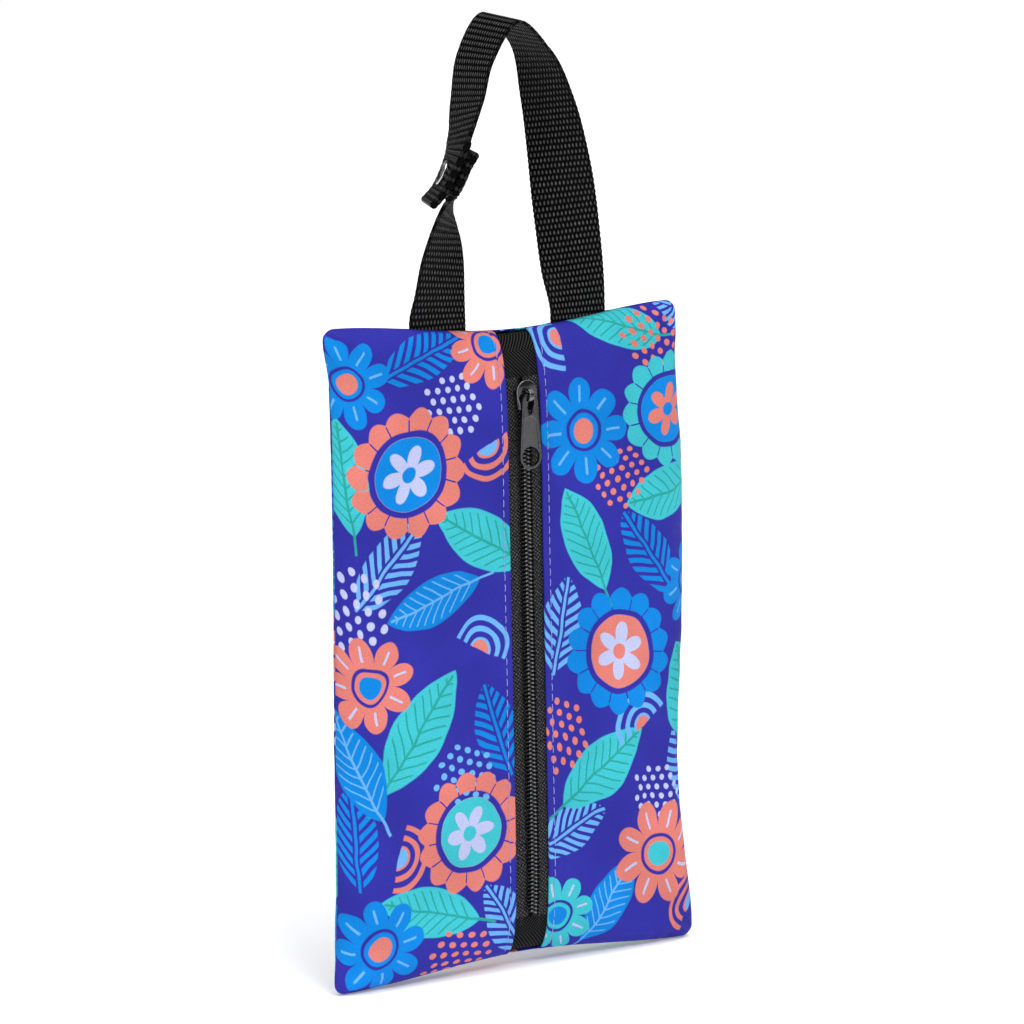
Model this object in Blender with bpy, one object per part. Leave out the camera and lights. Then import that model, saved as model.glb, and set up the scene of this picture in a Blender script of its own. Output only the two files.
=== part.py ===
"""Tissue pouch with a zip front and a snapped webbing loop, as separate closed solids.

Units are metres and +Z is up.  The front faces -Y.  The origin is where the loop hangs:
on the inner face of its top, over the middle of the zip.  The side seam lies in y = 0.
"""
import bpy
import bmesh
import math
import numpy as np
from mathutils import Vector

for old in list(bpy.data.objects):
    bpy.data.objects.remove(old, do_unlink=True)

# Clearances
SEAT_GAP = 0.0003          # between pieces that touch or are sewn together
SWING_GAP = 0.00035        # round the pull's bar inside the slider's bail

# Pouch
POUCH_HALF_WIDTH = 0.080
POUCH_HEIGHT = 0.2545      # between the corner levels, along the side seams
FRONT_BULGE = 0.0105       # front face in front of the seam plane
BACK_BULGE = 0.0095
TOP_SAG = 0.0059           # the top seam's dip at its middle
BOTTOM_RISE = 0.0050       # the bottom seam's rise at its middle
CORNER_RADIUS = 0.0048
CLOTH = 0.0012
SIDE_ROUNDING = 6          # power of the bulge across: higher is flatter in the middle
END_ROUNDING = 10          # power of the bulge up the pouch

# Zip
ZIP_WINDOW = 0.0148        # between the two folded edges of the front
ZIP_UNDERLAP = 0.0080      # tape and tabs run this far under each fold
TAPE = 0.0010
TAPE_SLIT = 0.0024         # between the two tapes, under the coil
TAB = 0.0011
TOP_TAB_LENGTH = 0.0180
BOTTOM_TAB_LENGTH = 0.0158
COIL_WIDTH = 0.0056
COIL_HEIGHT = 0.0020

# Slider
SLIDER_LENGTH = 0.0120
SLIDER_WIDTH = 0.0090
SLIDER_PLATE = 0.0012
SLIDER_FLANGE = 0.0010
SLIDER_TO_TAB = 0.0004     # from the slider's head to the end of the top tab
POST_WIDTH = 0.0016
POST_LENGTH = 0.0030
POST_FROM_HEAD = 0.0012
BAIL_WIDTH = 0.0020
BAIL_THICKNESS = 0.0012
BAIL_FROM_HEAD = 0.0056    # from the slider's head to the pull's axis

# Pull
PULL_LENGTH = 0.0290
PULL_THICKNESS = 0.0014
PULL_BAR = 0.0014
PULL_TOP_RADIUS = 0.0033
PULL_END_RADIUS = 0.0047
PULL_SLOT_LENGTH = 0.0078
PULL_SLOT_WIDTH = 0.0038
PULL_SLOT_NARROW = 0.0020
PULL_HOLE = 0.0074
PULL_RECESS = 0.0003
PULL_RIM = 0.0011

# Webbing loop
STRAP_WIDTH = 0.0250
STRAP_THICKNESS = 0.0015
STRAP_EDGE = 0.0005        # rounding of the selvedge
STRAP_EDGE_MOST = 0.6      # the most of half the thickness that this rounding may take
LOOP_SPAN = 0.0632         # between the middles of the two feet
LOOP_HEIGHT = 0.1162       # from the seam at the feet to the loop's top
STRAP_INSIDE = 0.0100      # sewn-in length below the top seam
FOOT_FADE = 0.0025         # beside a foot, where the open seam closes again
FOOT_OPEN = 0.0130         # below the top seam, down to which there is full room for a foot
FOOT_CLOSE = 0.0260        # below the top seam, where that room has faded out
LONG_HEM = 0.0265          # doubled length at the end of the long strap
SHORT_HEM = 0.0230
LONG_TAIL = 0.0135         # from the snap to the end of the long strap
SHORT_TAIL = 0.0120
TAIL_FLARE = 0.0028        # how far each free end stands away from the other strap

# Snap fastener
SNAP_TURN = math.radians(66.0)     # heading of the webbing's width at the snap, from +X
SNAP_SPLAY = 2.0                   # degrees that each strap turns away from that heading
SNAP_LEAN = math.radians(24.0)     # lean of the webbing at the snap, from upright
SNAP_ACROSS = -0.374               # share of the span
SNAP_UP = 0.494                    # share of the loop's height
SNAP_BACK = -0.012                 # share of the span
SNAP_CAP_RADIUS = 0.0050
SNAP_CAP_HEIGHT = 0.0011
SNAP_POST_RADIUS = 0.0014
SNAP_SOCKET_RADIUS = 0.0042
SNAP_SOCKET = 0.0012
SNAP_SIDES = 20

# Side seams: height share, then each side's distance from the middle as a share of the half width
SIDE_SEAMS = (
    ("height", "left", "right"),
    (0.00, 1.048, 1.006),
    (0.07, 1.036, 0.988),
    (0.15, 1.018, 0.955),
    (0.21, 1.014, 0.935),
    (0.30, 1.010, 0.922),
    (0.38, 1.008, 0.935),
    (0.48, 1.000, 0.955),
    (0.58, 0.993, 0.968),
    (0.70, 0.987, 0.972),
    (0.78, 0.985, 0.970),
    (0.85, 0.985, 0.950),
    (0.92, 0.990, 0.944),
    (0.97, 1.018, 0.952),
    (1.00, 1.022, 0.960),
)

# Dents of the front: places as shares of half width and height, reach as a share of
# the half width, depth as a share of the front bulge
FRONT_DENTS = (
    ("across", "height", "reach across", "reach up", "depth"),
    (-0.62, 0.93, 0.30, 0.16, 0.10),
    (-0.84, 0.60, 0.14, 0.55, 0.08),
    (-0.60, 0.12, 0.20, 0.30, 0.12),
    (-0.30, 0.45, 0.18, 0.90, 0.05),
    (0.34, 0.30, 0.16, 0.60, 0.07),
    (0.80, 0.30, 0.16, 0.30, 0.22),
    (0.55, 0.90, 0.26, 0.18, 0.09),
    (0.62, 0.10, 0.22, 0.22, 0.13),
    (0.84, 0.72, 0.12, 0.40, -0.06),
)

# Dents of the back, in the same columns
BACK_DENTS = (
    ("across", "height", "reach across", "reach up", "depth"),
    (-0.45, 0.80, 0.30, 0.35, 0.10),
    (0.10, 0.52, 0.26, 0.80, -0.05),
    (0.50, 0.24, 0.28, 0.32, 0.12),
    (-0.62, 0.16, 0.22, 0.26, 0.12),
    (0.70, 0.72, 0.18, 0.45, 0.08),
)

# Webbing route up to the snap: across and back are shares of the span, up is a share of the
# loop's height, turn is the heading of the webbing's width and tip its slope, in degrees
LONG_ROUTE = (
    ("across", "back", "up", "turn", "tip"),
    (0.500, 0.000, 0.000, 0.0, 0.0),
    (0.500, 0.000, 0.022, 0.0, 0.0),
    (0.490, 0.040, 0.175, -19.0, 0.0),
    (0.458, 0.055, 0.365, -31.0, 0.0),
    (0.405, 0.043, 0.545, -51.0, 0.0),
    (0.334, 0.042, 0.729, -67.0, -2.0),
    (0.214, 0.036, 0.903, -83.0, -7.0),
    (-0.011, 0.005, 1.000, -86.0, -6.0),
    (-0.190, 0.010, 0.872, -89.0, -5.0),
    (-0.255, 0.004, 0.737, -93.0, 0.0),
)
SHORT_ROUTE = (
    ("across", "back", "up", "turn", "tip"),
    (-0.500, 0.000, 0.000, 0.0, 0.0),
    (-0.500, 0.000, 0.022, 0.0, 0.0),
    (-0.489, -0.018, 0.113, 10.0, 0.0),
    (-0.462, -0.022, 0.234, 21.0, 0.0),
    (-0.427, -0.020, 0.359, 43.0, 0.0),
)

# Webbing past the snap: distance along it, share of the flare and twist still to go in degrees
LONG_END = (
    (1.8*SNAP_CAP_RADIUS, 0.0, 4.0),
    (0.0, 0.0, 0.0),
    (-0.45*LONG_TAIL, 0.12, 0.0),
    (-LONG_TAIL, 1.0, 0.0),
)
SHORT_END = (
    (-1.5*SNAP_CAP_RADIUS, 0.0, -4.0),
    (0.0, 0.0, 0.0),
    (0.45*SHORT_TAIL, 0.06, 0.0),
    (SHORT_TAIL, 0.4, 0.0),
)

# Mesh counts
SIDE_COLUMNS = 7           # from beyond the strap's foot to the side seam
PANEL_ROWS = 22
ZIP_ROWS = 18
TAPE_COLUMNS = 3
TAB_ROWS = 5
TAB_COLUMNS = 6
LONG_SECTIONS = 60
SHORT_SECTIONS = 26
HEM_SECTIONS = 9
HEM_TIP_ANGLES = (30, 60, 80)      # sections round the fold at a strap's end, in degrees
ROUTE_DETAIL = 12                  # points of the smooth route for each section
ARC_STEPS = 8

# Worked-out levels
FOOT_SHARE = 0.5*LOOP_SPAN/POUCH_HALF_WIDTH
FOOT_Z = STRAP_THICKNESS/2 - LOOP_HEIGHT
TOP_Z = FOOT_Z + TOP_SAG*(1 + math.cos(math.pi*FOOT_SHARE))/2
BOTTOM_Z = TOP_Z - POUCH_HEIGHT
FOLD_X = ZIP_WINDOW/2
TAPE_DEPTH = CLOTH + SEAT_GAP
COIL_DEPTH = TAPE_DEPTH - SEAT_GAP - COIL_HEIGHT
HEM = 2*STRAP_THICKNESS
SNAP_SPACE = SNAP_SOCKET + 2*SEAT_GAP


def material(name, colour, roughness, metallic=0.0):
    """A Principled material of one plain colour."""
    made = bpy.data.materials.new(name)
    made.use_nodes = True
    shader = made.node_tree.nodes["Principled BSDF"]
    shader.inputs["Base Color"].default_value = (*colour, 1.0)
    shader.inputs["Roughness"].default_value = roughness
    shader.inputs["Metallic"].default_value = metallic
    return made


PRINTED_CLOTH = material("printed_cloth", (0.030, 0.018, 0.440), 0.62)
ZIP_FABRIC = material("zip_fabric", (0.012, 0.012, 0.013), 0.75)
COIL_NYLON = material("coil_nylon", (0.015, 0.015, 0.016), 0.45)
WEBBING = material("webbing", (0.014, 0.014, 0.015), 0.60)
SLIDER_ENAMEL = material("slider_enamel", (0.010, 0.010, 0.011), 0.25, 0.3)
PULL_METAL = material("pull_metal", (0.060, 0.060, 0.064), 0.40, 0.8)
SNAP_NICKEL = material("snap_nickel", (0.640, 0.640, 0.650), 0.22, 1.0)


def keep(name, bm, finish, smooth_angle=None):
    """Turn a bmesh into a named object with its finish."""
    bmesh.ops.recalc_face_normals(bm, faces=bm.faces)
    if bm.calc_volume(signed=True) < 0:
        bmesh.ops.reverse_faces(bm, faces=bm.faces)
    mesh = bpy.data.meshes.new(name)
    bm.to_mesh(mesh)
    bm.free()
    if smooth_angle is not None:
        mesh.shade_smooth()
        mesh.set_sharp_from_angle(angle=math.radians(smooth_angle))
    made = bpy.data.objects.new(name, mesh)
    made.data.materials.append(finish)
    bpy.context.scene.collection.objects.link(made)
    return made


def boolean(target, tool, operation):
    """Cut or join one object with another, which is left out of the build."""
    tool.hide_render = True
    tool.display_type = "WIRE"
    change = target.modifiers.new(tool.name, "BOOLEAN")
    change.operation = operation
    change.solver = "EXACT"
    change.object = tool


def column(table, share, name):
    """Read a named column of a table between its rows."""
    heads = table[0]
    rows = np.array(table[1:])
    return float(np.interp(share, rows[:, 0], rows[:, heads.index(name)]))


def side_edge(side, height):
    """Distance of a side seam from the middle."""
    return POUCH_HALF_WIDTH*column(SIDE_SEAMS, height, "left" if side < 0 else "right")


def hanging_wave(across):
    """One in the middle of a seam and nothing at its ends, as a cosine."""
    return (1 + math.cos(math.pi*max(-1.0, min(1.0, across))))/2


def dent(table, bulge, across, height):
    """How far the dents take the surface back towards the seam plane."""
    total = 0.0
    for place, level, reach, reach_up, depth in table[1:]:
        near = ((across - place)/reach)**2
        near_up = ((height - level)*POUCH_HEIGHT/(reach_up*POUCH_HALF_WIDTH))**2
        total += depth*bulge*math.exp(-near - near_up)
    return total


def foot_reach():
    """Distances from the middle at which the seam starts to open for a foot, and is open."""
    middle = LOOP_SPAN/2
    half = STRAP_WIDTH/2 + 2*SEAT_GAP
    return (middle - half - FOOT_FADE, middle - half, middle + half, middle + half + FOOT_FADE)


def rim_opening(x, height):
    """Half the opening of the seam, which is wider where a strap's foot goes in."""
    at_foot = float(np.interp(abs(x), foot_reach(), (0.0, 1.0, 1.0, 0.0)))
    below_top = (1 - height)*POUCH_HEIGHT
    near_top = float(np.interp(below_top, (FOOT_OPEN, FOOT_CLOSE), (1.0, 0.0)))
    wide = STRAP_THICKNESS/2 + SEAT_GAP
    narrow = SEAT_GAP/2
    return narrow + (wide - narrow)*at_foot*near_top


def pouch_point(x, height, depth, back=False):
    """A point of the pouch's surface, or of a layer at some depth inside it.

    x is the distance from the middle, and height is the share of the way up.
    """
    side = -1 if x < 0 else 1
    edge = side_edge(side, height) - depth
    across = max(-1.0, min(1.0, x/edge))
    bottom = BOTTOM_Z + BOTTOM_RISE*hanging_wave(across) + depth
    top = TOP_Z - TOP_SAG*hanging_wave(across) - depth
    half_height = (top - bottom)/2
    level = 2*height - 1
    x, rise = round_corner(across*edge, level*half_height, edge, half_height)
    full = 1 - abs(across)**SIDE_ROUNDING
    full_up = 1 - abs(level)**END_ROUNDING
    shape = math.sqrt(max(0.0, full)*max(0.0, full_up))
    bulge = BACK_BULGE if back else FRONT_BULGE
    table = BACK_DENTS if back else FRONT_DENTS
    out = (bulge - depth - dent(table, bulge, across, height))*shape
    out += rim_opening(x, height)
    return Vector((x, out if back else -out, (top + bottom)/2 + rise))


def round_corner(x, z, edge, half_height):
    """Pull a point of a rectangle in, so that the rectangle's corners become round."""
    past = (abs(x) - edge)/CORNER_RADIUS + 1
    past_up = (abs(z) - half_height)/CORNER_RADIUS + 1
    if past <= 0 or past_up <= 0:
        return x, z
    pull = max(past, past_up)/math.hypot(past, past_up)
    near_x = edge - CORNER_RADIUS + CORNER_RADIUS*past*pull
    near_z = half_height - CORNER_RADIUS + CORNER_RADIUS*past_up*pull
    return math.copysign(near_x, x), math.copysign(near_z, z)


def towards_one(share):
    """Spread shares so that they crowd towards one, where the cloth turns over."""
    return 1 - (1 - share)**2


def towards_ends(share):
    """Spread shares so that they crowd towards both ends."""
    return (1 - math.cos(math.pi*share))/2


def sheet(name, columns, rows, place, finish, smooth_angle=35):
    """A wall made from a grid: place(across, up, inner) gives each corner of the grid."""
    bm = bmesh.new()
    bmesh.ops.create_grid(bm, x_segments=columns, y_segments=rows, size=0.5)
    outer = list(bm.verts)
    grown = bmesh.ops.extrude_face_region(bm, geom=list(bm.faces), use_keep_orig=True)
    inner = [item for item in grown["geom"] if isinstance(item, bmesh.types.BMVert)]
    for group, is_inner in ((outer, False), (inner, True)):
        for vert in group:
            vert.co = place(vert.co.x + 0.5, vert.co.y + 0.5, is_inner)
    return keep(name, bm, finish, smooth_angle)


def ring_tube(name, rings, finish, smooth_angle=35):
    """A closed solid through rings of points, capped at both ends."""
    bm = bmesh.new()
    loops = [[bm.verts.new(point) for point in ring] for ring in rings]
    count = len(loops[0])
    for low, high in zip(loops, loops[1:]):
        for i in range(count):
            j = (i + 1) % count
            bm.faces.new((low[i], low[j], high[j], high[i]))
    bm.faces.new(loops[0][::-1])
    bm.faces.new(loops[-1])
    return keep(name, bm, finish, smooth_angle)


def panel_stations(start, edge):
    """Distances from the middle of a panel's columns: past the foot, then over the side."""
    near, inner, outer, far = foot_reach()
    middle = (inner + outer)/2
    steps = [start, (start + near)/2, near, inner, (inner + middle)/2, middle,
             (middle + outer)/2, outer, far]
    turned = np.arange(1, SIDE_COLUMNS + 1)/SIDE_COLUMNS
    return steps + [far + (edge - far)*towards_one(share) for share in turned]


PANEL_COLUMNS = len(panel_stations(0.0, 1.0)) - 1


def front_panel(name, side):
    """One half of the front, from its fold beside the zip to the side seam."""
    def place(across, up, inner):
        depth = CLOTH if inner else 0.0
        height = towards_ends(up)
        stations = panel_stations(FOLD_X, side_edge(side, height) - depth)
        return pouch_point(side*stations[round(across*PANEL_COLUMNS)], height, depth)
    return sheet(name, PANEL_COLUMNS, PANEL_ROWS, place, PRINTED_CLOTH)


def back_panel():
    """The back in one piece, from side seam to side seam."""
    def place(across, up, inner):
        depth = CLOTH if inner else 0.0
        height = towards_ends(up)
        sweep = 2*across - 1
        side = -1 if sweep < 0 else 1
        stations = panel_stations(0.0, side_edge(side, height) - depth)
        x = side*stations[round(abs(sweep)*PANEL_COLUMNS)]
        return pouch_point(x, height, depth, back=True)
    return sheet("back_panel", 2*PANEL_COLUMNS, PANEL_ROWS, place, PRINTED_CLOTH)


def seam_levels():
    """Lower and upper seam levels at the middle of the pouch."""
    return BOTTOM_Z + BOTTOM_RISE, TOP_Z - TOP_SAG


def height_share(z, depth=0.0):
    """Share of the way up, at the middle of the pouch, of a level in a layer."""
    low, high = seam_levels()
    return (z - low - depth)/(high - low - 2*depth)


def tab_level(length, at_top):
    """Level at which a tab ends."""
    low, high = seam_levels()
    return high - length if at_top else low + length


def zipper_tape(name, side):
    """One of the two tapes, from the slit under the coil to well under the fold."""
    low = tab_level(BOTTOM_TAB_LENGTH, False) + SEAT_GAP
    high = tab_level(TOP_TAB_LENGTH, True) - SEAT_GAP

    def place(across, up, inner):
        depth = TAPE_DEPTH + (TAPE if inner else 0.0)
        x = TAPE_SLIT/2 + (FOLD_X + ZIP_UNDERLAP - TAPE_SLIT/2)*across
        return pouch_point(side*x, height_share(low + (high - low)*up, depth), depth)
    return sheet(name, TAPE_COLUMNS, ZIP_ROWS, place, ZIP_FABRIC)


def end_tab(name, length, at_top):
    """A woven tab between the front and back seams that covers one end of the zip."""
    end = tab_level(length, at_top)
    seam = 1.0 if at_top else 0.0

    def place(across, up, inner):
        depth = TAPE_DEPTH + (TAB if inner else 0.0)
        x = (FOLD_X + ZIP_UNDERLAP)*(2*across - 1)
        start = height_share(end, depth)
        height = start + (seam - start)*towards_one(up)
        return pouch_point(x, height, depth)
    return sheet(name, TAB_COLUMNS, TAB_ROWS, place, ZIP_FABRIC)


def slider_levels():
    """Head, tail and pull axis of the slider."""
    head = seam_levels()[1] - TOP_TAB_LENGTH - SLIDER_TO_TAB
    return head, head - SLIDER_LENGTH, head - BAIL_FROM_HEAD


def coil_point(across, level, depth):
    """A point of the coil's section at a level."""
    return pouch_point(across*COIL_WIDTH, height_share(level, depth), depth)


def zipper_coil():
    """The closed coil as one rounded bar on the tapes, from tab to slider post."""
    low = tab_level(BOTTOM_TAB_LENGTH, False) + SEAT_GAP
    high = slider_levels()[0] - POST_FROM_HEAD - POST_LENGTH - SEAT_GAP
    section = (
        (-0.50, 1.00), (-0.50, 0.35), (-0.38, 0.08), (-0.12, 0.00),
        (0.12, 0.00), (0.38, 0.08), (0.50, 0.35), (0.50, 1.00),
    )
    rings = []
    for step in range(ZIP_ROWS + 1):
        level = low + (high - low)*step/ZIP_ROWS
        rings.append([coil_point(across, level, COIL_DEPTH + down*COIL_HEIGHT)
                      for across, down in section])
    return ring_tube("zipper_coil", rings, COIL_NYLON)


def extruded(name, outline, width, finish, smooth_angle=35):
    """An outline of (y, z) points given its width along X, centred on x = 0."""
    bm = bmesh.new()
    face = bm.faces.new([bm.verts.new((-width/2, y, z)) for y, z in outline])
    grown = bmesh.ops.extrude_face_region(bm, geom=[face], use_keep_orig=True)
    moved = [item for item in grown["geom"] if isinstance(item, bmesh.types.BMVert)]
    bmesh.ops.translate(bm, verts=moved, vec=(width, 0, 0))
    return keep(name, bm, finish, smooth_angle)


def box(name, low, high, finish, bevel=0.0):
    """A box between two corners, with its edges broken if a bevel is given."""
    bm = bmesh.new()
    bmesh.ops.create_cube(bm, size=1.0)
    size = Vector(high) - Vector(low)
    bmesh.ops.scale(bm, verts=bm.verts, vec=size)
    bmesh.ops.translate(bm, verts=bm.verts, vec=(Vector(low) + Vector(high))/2)
    if bevel:
        bmesh.ops.bevel(bm, geom=bm.edges[:], offset=bevel, segments=1, profile=0.5,
                        affect="EDGES", material=-1)
    return keep(name, bm, finish, 35)


def slider_surface():
    """y of the coil's crown where the slider is proudest, and of the tapes' two faces."""
    head, tail, _ = slider_levels()
    crown = coil_point(0.0, tail, COIL_DEPTH).y
    tape_front = coil_point(0.0, tail, TAPE_DEPTH).y
    tape_back = coil_point(0.0, head, TAPE_DEPTH + TAPE).y
    return crown, tape_front, tape_back


def pull_axis():
    """Where the pull's bar turns under the bail."""
    crown, _, _ = slider_surface()
    plate_front = crown - SEAT_GAP - SLIDER_PLATE
    return Vector((0.0, plate_front - bail_inner_radius(), slider_levels()[2]))


def bail_inner_radius():
    """Room that the bar's corners need when it turns."""
    return math.hypot(PULL_BAR, PULL_THICKNESS)/2 + SWING_GAP


def slider_body():
    """Top plate with two flanges round the coil, a post, a back plate and the bail."""
    head, tail, axis_z = slider_levels()
    crown, tape_front, tape_back = slider_surface()
    plate_back = crown - SEAT_GAP
    plate_front = plate_back - SLIDER_PLATE
    half = SLIDER_WIDTH/2
    body = box("slider_body", (-half, plate_front, tail), (half, plate_back, head),
               SLIDER_ENAMEL, SLIDER_PLATE/4)
    sunk = SLIDER_PLATE/3
    for side, label in ((-1, "left"), (1, "right")):
        inner = side*(half - SLIDER_FLANGE)
        outer = side*(half - SLIDER_PLATE/8)
        low = (min(inner, outer), plate_back - sunk, tail + SLIDER_PLATE/2)
        high = (max(inner, outer), tape_front - SEAT_GAP, head - SLIDER_PLATE/2)
        boolean(body, box("flange_" + label, low, high, SLIDER_ENAMEL), "UNION")
    back_front = tape_back + SEAT_GAP
    post_top = head - POST_FROM_HEAD
    post = box("slider_post", (-POST_WIDTH/2, plate_back - sunk, post_top - POST_LENGTH),
               (POST_WIDTH/2, back_front + sunk, post_top), SLIDER_ENAMEL)
    boolean(body, post, "UNION")
    back = box("slider_back", (-half, back_front, tail),
               (half, back_front + SLIDER_PLATE, head), SLIDER_ENAMEL, SLIDER_PLATE/4)
    boolean(body, back, "UNION")
    inner_radius = bail_inner_radius()
    outer_radius = inner_radius + BAIL_THICKNESS
    axis_y = pull_axis().y
    outline = [(plate_front + sunk, axis_z - outer_radius)]
    outline += bail_arc(axis_y, axis_z, outer_radius, -1)
    outline += [(plate_front + sunk, axis_z + outer_radius)]
    outline += [(plate_front + sunk, axis_z + inner_radius)]
    outline += bail_arc(axis_y, axis_z, inner_radius, 1)
    outline += [(plate_front + sunk, axis_z - inner_radius)]
    bail = extruded("slider_bail", outline, BAIL_WIDTH, SLIDER_ENAMEL)
    boolean(body, bail, "UNION")
    return body


def bail_arc(centre_y, centre_z, radius, direction):
    """Half a circle over the bail's opening, from foot to foot."""
    points = []
    for step in range(ARC_STEPS + 1):
        angle = math.pi*step/ARC_STEPS
        points.append((centre_y - radius*math.sin(angle),
                       centre_z + direction*radius*math.cos(angle)))
    return points


def two_circle_outline(top_z, top_radius, low_z, low_radius):
    """Outline round two circles on the middle line, as (x, z) points, clockwise from the right."""
    lean = math.asin((low_radius - top_radius)/(top_z - low_z))
    points = []
    for centre, radius, start, sweep in (
            (top_z, top_radius, lean, math.pi - 2*lean),
            (low_z, low_radius, math.pi - lean, math.pi + 2*lean)):
        for step in range(ARC_STEPS + 1):
            angle = start + sweep*step/ARC_STEPS
            points.append((radius*math.cos(angle), centre + radius*math.sin(angle)))
    return points


def plate(name, outline, front, back, finish, smooth_angle=35):
    """An outline of (x, z) points filled between two depths."""
    bm = bmesh.new()
    face = bm.faces.new([bm.verts.new((x, front, z)) for x, z in outline])
    grown = bmesh.ops.extrude_face_region(bm, geom=[face], use_keep_orig=True)
    moved = [item for item in grown["geom"] if isinstance(item, bmesh.types.BMVert)]
    bmesh.ops.translate(bm, verts=moved, vec=(0, back - front, 0))
    return keep(name, bm, finish, smooth_angle)


def slider_pull():
    """The pull tab, with a slot round the bail, a sunk panel and a hole at its end."""
    axis = pull_axis()
    half = PULL_THICKNESS/2
    past = PULL_THICKNESS
    top = PULL_BAR/2
    end = top - PULL_LENGTH
    body = plate("slider_pull", two_circle_outline(
        top - PULL_TOP_RADIUS, PULL_TOP_RADIUS, end + PULL_END_RADIUS, PULL_END_RADIUS),
        -half, half, PULL_METAL)
    slot_top = top - PULL_BAR
    wide = PULL_SLOT_WIDTH/2
    narrow = PULL_SLOT_NARROW/2
    slot = plate("pull_slot", two_circle_outline(
        slot_top - wide, wide, slot_top - PULL_SLOT_LENGTH + narrow, narrow),
        -past, past, PULL_METAL)
    hole_z = end + PULL_END_RADIUS
    hole = plate("pull_hole", round_outline(hole_z, PULL_HOLE/2), -past, past, PULL_METAL)
    panel_top = slot_top - PULL_SLOT_LENGTH - PULL_RIM
    panel_end = hole_z + PULL_HOLE/2 + PULL_RIM
    panel_half = PULL_TOP_RADIUS - PULL_RIM
    panel_z = (panel_top + panel_end)/2
    panel_rise = (panel_top - panel_end)/2
    panel = plate("pull_panel", [
        (panel_half*math.copysign(abs(math.cos(a))**0.5, math.cos(a)),
         panel_z + panel_rise*math.copysign(abs(math.sin(a))**0.5, math.sin(a)))
        for a in np.linspace(0, 2*math.pi, 2*ARC_STEPS, endpoint=False)],
        -past, PULL_RECESS - half, PULL_METAL)
    for tool in (slot, hole, panel):
        boolean(body, tool, "DIFFERENCE")
        tool.location = axis
    body.location = axis
    return body


def round_outline(centre_z, radius):
    """A full circle of (x, z) points."""
    steps = 2*ARC_STEPS
    return [(radius*math.cos(2*math.pi*i/steps), centre_z + radius*math.sin(2*math.pi*i/steps))
            for i in range(steps)]


def snap_frame():
    """Middle of the snap, the webbing's width and upward headings, and the snap's axis."""
    middle = Vector((SNAP_ACROSS*LOOP_SPAN, SNAP_BACK*LOOP_SPAN, FOOT_Z + SNAP_UP*LOOP_HEIGHT))
    level = Vector((math.sin(SNAP_TURN), -math.cos(SNAP_TURN), 0.0))
    width = Vector((math.cos(SNAP_TURN), math.sin(SNAP_TURN), 0.0))
    upward = level*math.sin(SNAP_LEAN) + Vector((0, 0, math.cos(SNAP_LEAN)))
    axis = level*math.cos(SNAP_LEAN) - Vector((0, 0, math.sin(SNAP_LEAN)))
    return middle, width, upward, axis


def snap_seat(side):
    """Middle of the doubled webbing at the snap: -1 for the long strap and 1 for the short."""
    middle, _, _, axis = snap_frame()
    return middle + axis*side*(SNAP_SPACE + HEM)/2


def strap_route(table, side, stations):
    """Points and turns of a strap from its sewn end, over its route, to its free end."""
    foot = Vector((table[1][0]*LOOP_SPAN, 0.0, FOOT_Z - STRAP_INSIDE))
    points = [(*foot, 0.0, 0.0)]
    for across, back, up, turn, tip in table[1:]:
        level = FOOT_Z + up*LOOP_HEIGHT
        points.append((across*LOOP_SPAN, back*LOOP_SPAN, level, turn, tip))
    _, _, upward, axis = snap_frame()
    seat = snap_seat(side)
    turn = math.degrees(SNAP_TURN) - side*SNAP_SPLAY - (180.0 if side < 0 else 0.0)
    for along, flare, untwist in stations:
        place = seat + upward*along + axis*side*flare*TAIL_FLARE
        points.append((*place, turn + untwist, 0.0))
    return np.array(points)


def smooth_route(points, count):
    """Evenly spaced points on a smooth curve through the route's points."""
    spans = np.linalg.norm(np.diff(points[:, :3], axis=0), axis=1)
    knots = np.concatenate([[0.0], np.cumsum(spans)])
    slopes = np.gradient(points, knots, axis=0)
    fine = np.linspace(0.0, knots[-1], ROUTE_DETAIL*count)
    spot = np.clip(np.searchsorted(knots, fine, side="right") - 1, 0, len(knots) - 2)
    step = (knots[spot + 1] - knots[spot])[:, None]
    share = ((fine - knots[spot])[:, None])/step
    curve = ((2*share**3 - 3*share**2 + 1)*points[spot]
             + (share**3 - 2*share**2 + share)*step*slopes[spot]
             + (3*share**2 - 2*share**3)*points[spot + 1]
             + (share**3 - share**2)*step*slopes[spot + 1])
    steps = np.linalg.norm(np.diff(curve[:, :3], axis=0), axis=1)
    return np.concatenate([[0.0], np.cumsum(steps)]), curve


def strap_stations(length, hem, count):
    """Distances of a strap's sections, with extra ones where the doubled end starts and rounds off."""
    tip = STRAP_THICKNESS
    even = list(np.linspace(0.0, length - hem - tip, count))
    doubled = list(np.linspace(length - hem, length - tip, HEM_SECTIONS))
    rounded = [length - tip*(1 - math.sin(math.radians(a))) for a in HEM_TIP_ANGLES]
    return even + doubled + rounded


def thickness_at(distance, length, hem):
    """Webbing thickness: single, then doubled over the hem, and round at the fold."""
    if distance < length - hem - STRAP_THICKNESS/2:
        return STRAP_THICKNESS
    from_end = max(0.0, distance - (length - STRAP_THICKNESS))/STRAP_THICKNESS
    return HEM*math.sqrt(max(0.0, 1 - from_end**2))


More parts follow.
